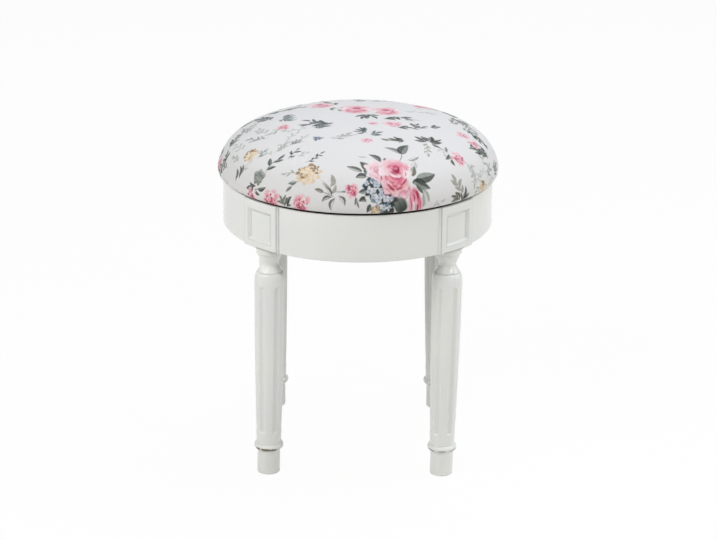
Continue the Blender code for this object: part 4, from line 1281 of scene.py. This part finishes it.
        for x, y, lean, length, width, tone in chintz["bouquetLeaves"]:
            self.leaf(place(x, y), turn + math.radians(lean), length, width, tone)
        line(((3, 20), (8, 30), (6, 42)), 1.2, "olive", 0.7)
        self.rose(place(-27, -4), turn + 0.35, 13.5, 0.62, 1.4)
        line(((-31, 3), (-28, -8), (-20, -12)), 2.4, "roseMid", 0.8)
        line(((-24, 4), (-21, -4), (-18, -10)), 1.8, "roseDeep", 0.8)
        self.hydrangea(chintz["hydrangeaLobes"], place)
        self.petal(place(12, -47), turn + 2.3, 12, 9.5, ink("leafDark"), ink("grey"), 0.0, 0.3)
        self.bud(place(35, -38), turn - 1.15, 20)
        for x, y, reach in chintz["berries"]:
            self.petal(place(x, y), turn, reach, reach * 0.9, ink("leafDark"), ink("olive"), 0.0, 0.4)
        self.posy(place(-25, -61), turn, 9)
        for x, lean in ((-9, -2.0), (2, -1.6), (13, -1.2)):
            self.petal(place(x, -25), turn + lean, 11, 9, ink("roseDeep"), ink("rosePale"), 0.3, 0.4)
        self.rose(place(-2, -2), turn, 20, stretch=1.35)

    def draw(self):
        motifs = {
            "sprigs": self.sprig,
            "violets": self.violet,
            "greyBuds": self.greyBud,
            "posies": self.posy,
            "roses": self.rose,
            "pinks": self.pink,
            "bouquets": self.bouquet,
        }
        for kind, motif in motifs.items():
            for at, turn, *rest in chintz[kind]:
                motif(np.array(at, float), math.radians(turn), *rest)

    def linear(self):
        c = np.clip(self.rgb, 0.0, 1.0)
        return np.where(c <= 0.04045, c / 12.92, ((c + 0.055) / 1.055) ** 2.4) * cotton["whiteness"]


def makeCushion():
    path, run = clothPath(cushion["startInset"])
    swell, simRings, simStart = blownCloth(path, run)
    rings = round(run[-1] / cushion["pitch"])
    level, angle, start, faces = ringedDisc(rings)
    points = clothPoints(path, run, level, angle, rings)
    points += ringSample(swell, simRings, simStart, level * simRings / rings, angle)
    free = np.clip((points[:, 2] - hemHeight) / cushion["settle"], 0.0, 1.0)
    points[:, 2] += cushion["lean"] * points[:, 0] * free
    points[:, :2] *= 1 + cushion["spread"] * free[:, None]
    station = level / rings * run[-1]
    flat = np.stack([station * np.cos(angle), station * np.sin(angle)], axis=1)
    pattern = ClothPrint(*flat.T)
    pattern.draw()
    mesh = meshFrom("cushion", points, faces, None, flat, "cloth")
    colours = np.ones((len(points), 4), np.float32)
    colours[:, :3] = pattern.linear()
    attribute = mesh.color_attributes.new("print", "FLOAT_COLOR", "POINT")
    attribute.data.foreach_set("color", colours.ravel())
    replaced = ["seat_cover", "wadding", "foam_pad"]
    piece = handIn("rose_cushion", mesh, cottonMaterial, replaced, 60)
    print("cushion stretched and printed:", len(points), "points")


makeCushion()


# dust cover: thick felt whose edge shows as the dark line under the cushion
felt = {
    "edgeInset": 0.0003,
    "edgeRound": 0.0009,
    "clear": 0.0001,
    "columns": 360,
    "sideInset": 0.002,  # the edge shows less towards the sides
    "sideFrom": 0.5,  # share of the radius sideways where that begins, and its run
    "sideRun": 0.3,
    "sidePower": 8,
}


def makeDustCover():
    reach = apronRadius - felt["edgeInset"]
    low = apronTop + felt["clear"]
    high = hemHeight - felt["clear"]
    soft = felt["edgeRound"]
    profile = [(0.0, high), (reach * 0.5, high)]
    profile += arc((reach - soft, high - soft), soft, soft, 90, 0, 5)
    profile += arc((reach - soft, low + soft), soft, soft, 0, -90, 5)
    profile += [(reach * share, dustBottom) for share in (0.8, 0.5, 0.0)]
    mesh = welded(lathe("dust_cover", profile, felt["columns"]))
    for corner in mesh.vertices:
        radius = max(math.hypot(corner.co.x, corner.co.y), 1e-6)
        sideways = min(max((abs(corner.co.x) / radius - felt["sideFrom"]) / felt["sideRun"], 0.0), 1.0)
        shrink = 1 - felt["sideInset"] * sideways * (radius / reach) ** felt["sidePower"] / radius
        corner.co.x *= shrink
        corner.co.y *= shrink
    handIn("felt_dust_cover", mesh, feltMaterial, ["dust_cover"], 50)
    print("dust cover cut:", len(mesh.polygons), "faces")


makeDustCover()


# staples that hold the dust cover up, seen from below
staples = {
    "count": 72,
    "radius": 0.159,
    "crown": 0.010,
    "wire": 0.0011,
    "drop": 0.0006,
    "clear": 0.02,  # none this near a bracket, nor within so many times that of a block
    "blockShare": 1.6,
    "lowered": 0.4,  # share of the drop from the felt down to a staple's middle
}


def stapleTree():
    floats = ("Radius", "Crown", "Wire", "Drop", "Height", "Clear")
    sockets, value, wire = openTree("stapleRing", floats, {"Count": "Int", "Steel": "Material"})
    circle = {"Vertices": value["Count"], "Radius": value["Radius"]}
    ring = wire.node("GeometryNodeMeshCircle", None, circle)
    x = wire.node("ShaderNodeSeparateXYZ", None, {"Vector": wire.node("GeometryNodeInputPosition")})
    angle = wire.maths("ARCTAN2", x.output("Y"), x)
    eighth = math.pi / 4
    toBlock, toBracket = (
        wire.maths("ABSOLUTE", wire.maths("WRAP", where, eighth, -eighth)) * value["Radius"]
        for where in (angle - eighth, angle)
    )
    blocked = wire.maths("LESS_THAN", toBlock, value["Clear"] * staples["blockShare"])
    covered = wire.maths("LESS_THAN", toBracket, value["Clear"])
    chosen = {"Geometry": ring, "Selection": blocked + covered}
    free = wire.node("GeometryNodeDeleteGeometry", None, chosen)
    sizes = {"X": value["Wire"], "Y": value["Crown"], "Z": value["Drop"]}
    size = wire.node("ShaderNodeCombineXYZ", None, sizes)
    staple = wire.node("GeometryNodeMeshCube", None, {"Size": size})
    turn = wire.node("ShaderNodeCombineXYZ", None, {"Z": angle})
    copies = {"Points": free, "Instance": staple, "Rotation": turn}
    placed = wire.node("GeometryNodeInstanceOnPoints", None, copies)
    lift = wire.node("ShaderNodeCombineXYZ", None, {"Z": value["Height"]})
    lifted = wire.node("GeometryNodeTransform", None, {"Geometry": placed, "Translation": lift})
    closeTree(wire, lifted, value["Steel"])
    return wire.tree, sockets


def makeStaples():
    worker = newObject("stapleWorker", bpy.data.meshes.new("stapleWorker"), zincMaterial)
    mesh = bakeNodes(worker, *stapleTree(), {
        "Count": staples["count"],
        "Radius": staples["radius"],
        "Crown": staples["crown"],
        "Wire": staples["wire"],
        "Drop": staples["drop"],
        "Clear": staples["clear"],
        "Height": dustBottom - staples["drop"] * staples["lowered"],
        "Steel": zincMaterial,
    })
    handIn("dust_cover_staples", mesh, zincMaterial)
    print("staples set:", len(mesh.polygons), "faces")


makeStaples()


# finishes of the fittings that keep their own shape
finishes = {
    "dowel": beechMaterial,
    "hanger": zincMaterial,
    "leg_insert": zincMaterial,
    "seat_bracket": zincMaterial,
    "rail_screw": zincMaterial,
    "seat_screw": zincMaterial,
    "seat_board": plyMaterial,
}
for name, node in nodes.items():
    for start, material in finishes.items():
        if name.startswith(start):
            node.data.materials.clear()
            node.data.materials.append(material)
print("fittings finished")


# pale floor, white surround and soft studio light
studio = {
    "floorSize": 30.0,
    "white": (1.0, 1.0, 1.0, 1.0),
    "floorColour": (0.92, 0.9, 0.85, 1.0),
    "shadowShare": 0.04,  # how much of the floor's own shading the camera sees
    "ambient": 0.06,
    "aim": (0.0, 0.0, 0.3),  # where every lamp points
}
lamps = {
    "overhead": {"at": (0.7, 0.5, 2.6), "size": 2.4, "power": 38.5, "tint": (0.895, 0.925, 1.0)},
    "topLeft": {"at": (-1.7, -1.5, 2.3), "size": 1.3, "power": 28.5, "tint": (1.0, 1.0, 1.0)},
    "frontHigh": {"at": (0.0, -2.3, 2.2), "size": 1.5, "power": 9.0, "tint": (1.0, 0.99, 0.97)},
    "leftSide": {"at": (-2.8, -0.2, 1.2), "size": 1.6, "power": 13.0, "tint": (0.98, 0.99, 1.0)},
    "rightSide": {"at": (2.8, -0.2, 1.2), "size": 1.6, "power": 21.0, "tint": (1.0, 1.0, 1.0)},
    "glintLeft": {"at": (-1.5, -2.4, 2.0), "size": 0.3, "power": 9.0, "tint": (1.0, 1.0, 1.0)},
    "glintRight": {"at": (1.9, -2.1, 2.0), "size": 0.3, "power": 13.0, "tint": (1.0, 1.0, 1.0)},
}


def seenDirectly(wire):  # 1 where the camera, a mirror or glass looks straight at it
    path = wire.node("ShaderNodeLightPath")
    mirrored = path.output("Is Glossy Ray")
    through = path.output("Is Transmission Ray")
    return wire.maths("MINIMUM", path.output("Is Camera Ray") + mirrored + through, 1.0)


def makeStudio():
    material, wire = newMaterial("paleFloor")
    shade = wire.node("ShaderNodeBsdfDiffuse", None, {"Color": studio["floorColour"]})
    glow = wire.node("ShaderNodeEmission", None, {"Color": studio["white"], "Strength": 1.0})
    share = seenDirectly(wire) * (1 - studio["shadowShare"])
    mixed = wire.node("ShaderNodeMixShader", None, {0: share, 1: shade, 2: glow})
    wire.node("ShaderNodeOutputMaterial", None, {"Surface": mixed})
    half = studio["floorSize"] / 2
    outline = [(-half, -half, 0.0), (half, -half, 0.0), (half, half, 0.0), (-half, half, 0.0)]
    floor = newObject("floor", meshFrom("floor", outline, [(0, 1, 2, 3)]), material)
    world = bpy.data.worlds.new("studio")
    bpy.context.scene.world = world
    world.use_nodes = True
    world.node_tree.nodes.clear()
    wire = Wire(world.node_tree)
    strength = studio["ambient"] + seenDirectly(wire) * (1 - studio["ambient"])
    sky = wire.node("ShaderNodeBackground", None, {"Color": studio["white"], "Strength": strength})
    wire.node("ShaderNodeOutputWorld", None, {"Surface": sky})
    aim = Vector(studio["aim"])
    for name, lamp in lamps.items():
        data = bpy.data.lights.new(name, "AREA")
        data.shape = "DISK"
        data.size = lamp["size"]
        data.energy = lamp["power"]
        data.color = lamp["tint"]
        light = bpy.data.objects.new(name, data)
        light.location = lamp["at"]
        light.rotation_euler = (aim - light.location).to_track_quat("-Z", "Y").to_euler()
        bpy.context.scene.collection.objects.link(light)
    print("studio lit")


# camera, fitted to the photo: degrees, metres and millimetres of lens
view = {
    "lens": 125.55,
    "sensor": 36.0,
    "distance": 3.57,
    "azimuth": 0.2,
    "elevation": 19.853,
    "roll": 0.578,
    "target": (0.0014, 0.0, 0.2593),
}


def makeCamera():
    data = bpy.data.cameras.new("camera")
    data.lens = view["lens"]
    data.sensor_width = view["sensor"]
    data.sensor_fit = "HORIZONTAL"
    camera = bpy.data.objects.new("camera", data)
    lift = math.radians(view["elevation"])
    spin = math.radians(view["azimuth"])
    back = Vector((-math.cos(lift) * math.sin(spin), -math.cos(lift) * math.cos(spin), math.sin(lift)))
    camera.location = Vector(view["target"]) + back * view["distance"]
    camera.rotation_mode = "QUATERNION"
    roll = Quaternion((0.0, 0.0, 1.0), math.radians(view["roll"]))
    camera.rotation_quaternion = (-back).to_track_quat("-Z", "Y") @ roll
    bpy.context.scene.collection.objects.link(camera)
    bpy.context.scene.camera = camera
    print("camera placed")


makeStudio()
makeCamera()
bpy.context.scene.view_settings.view_transform = "Standard"
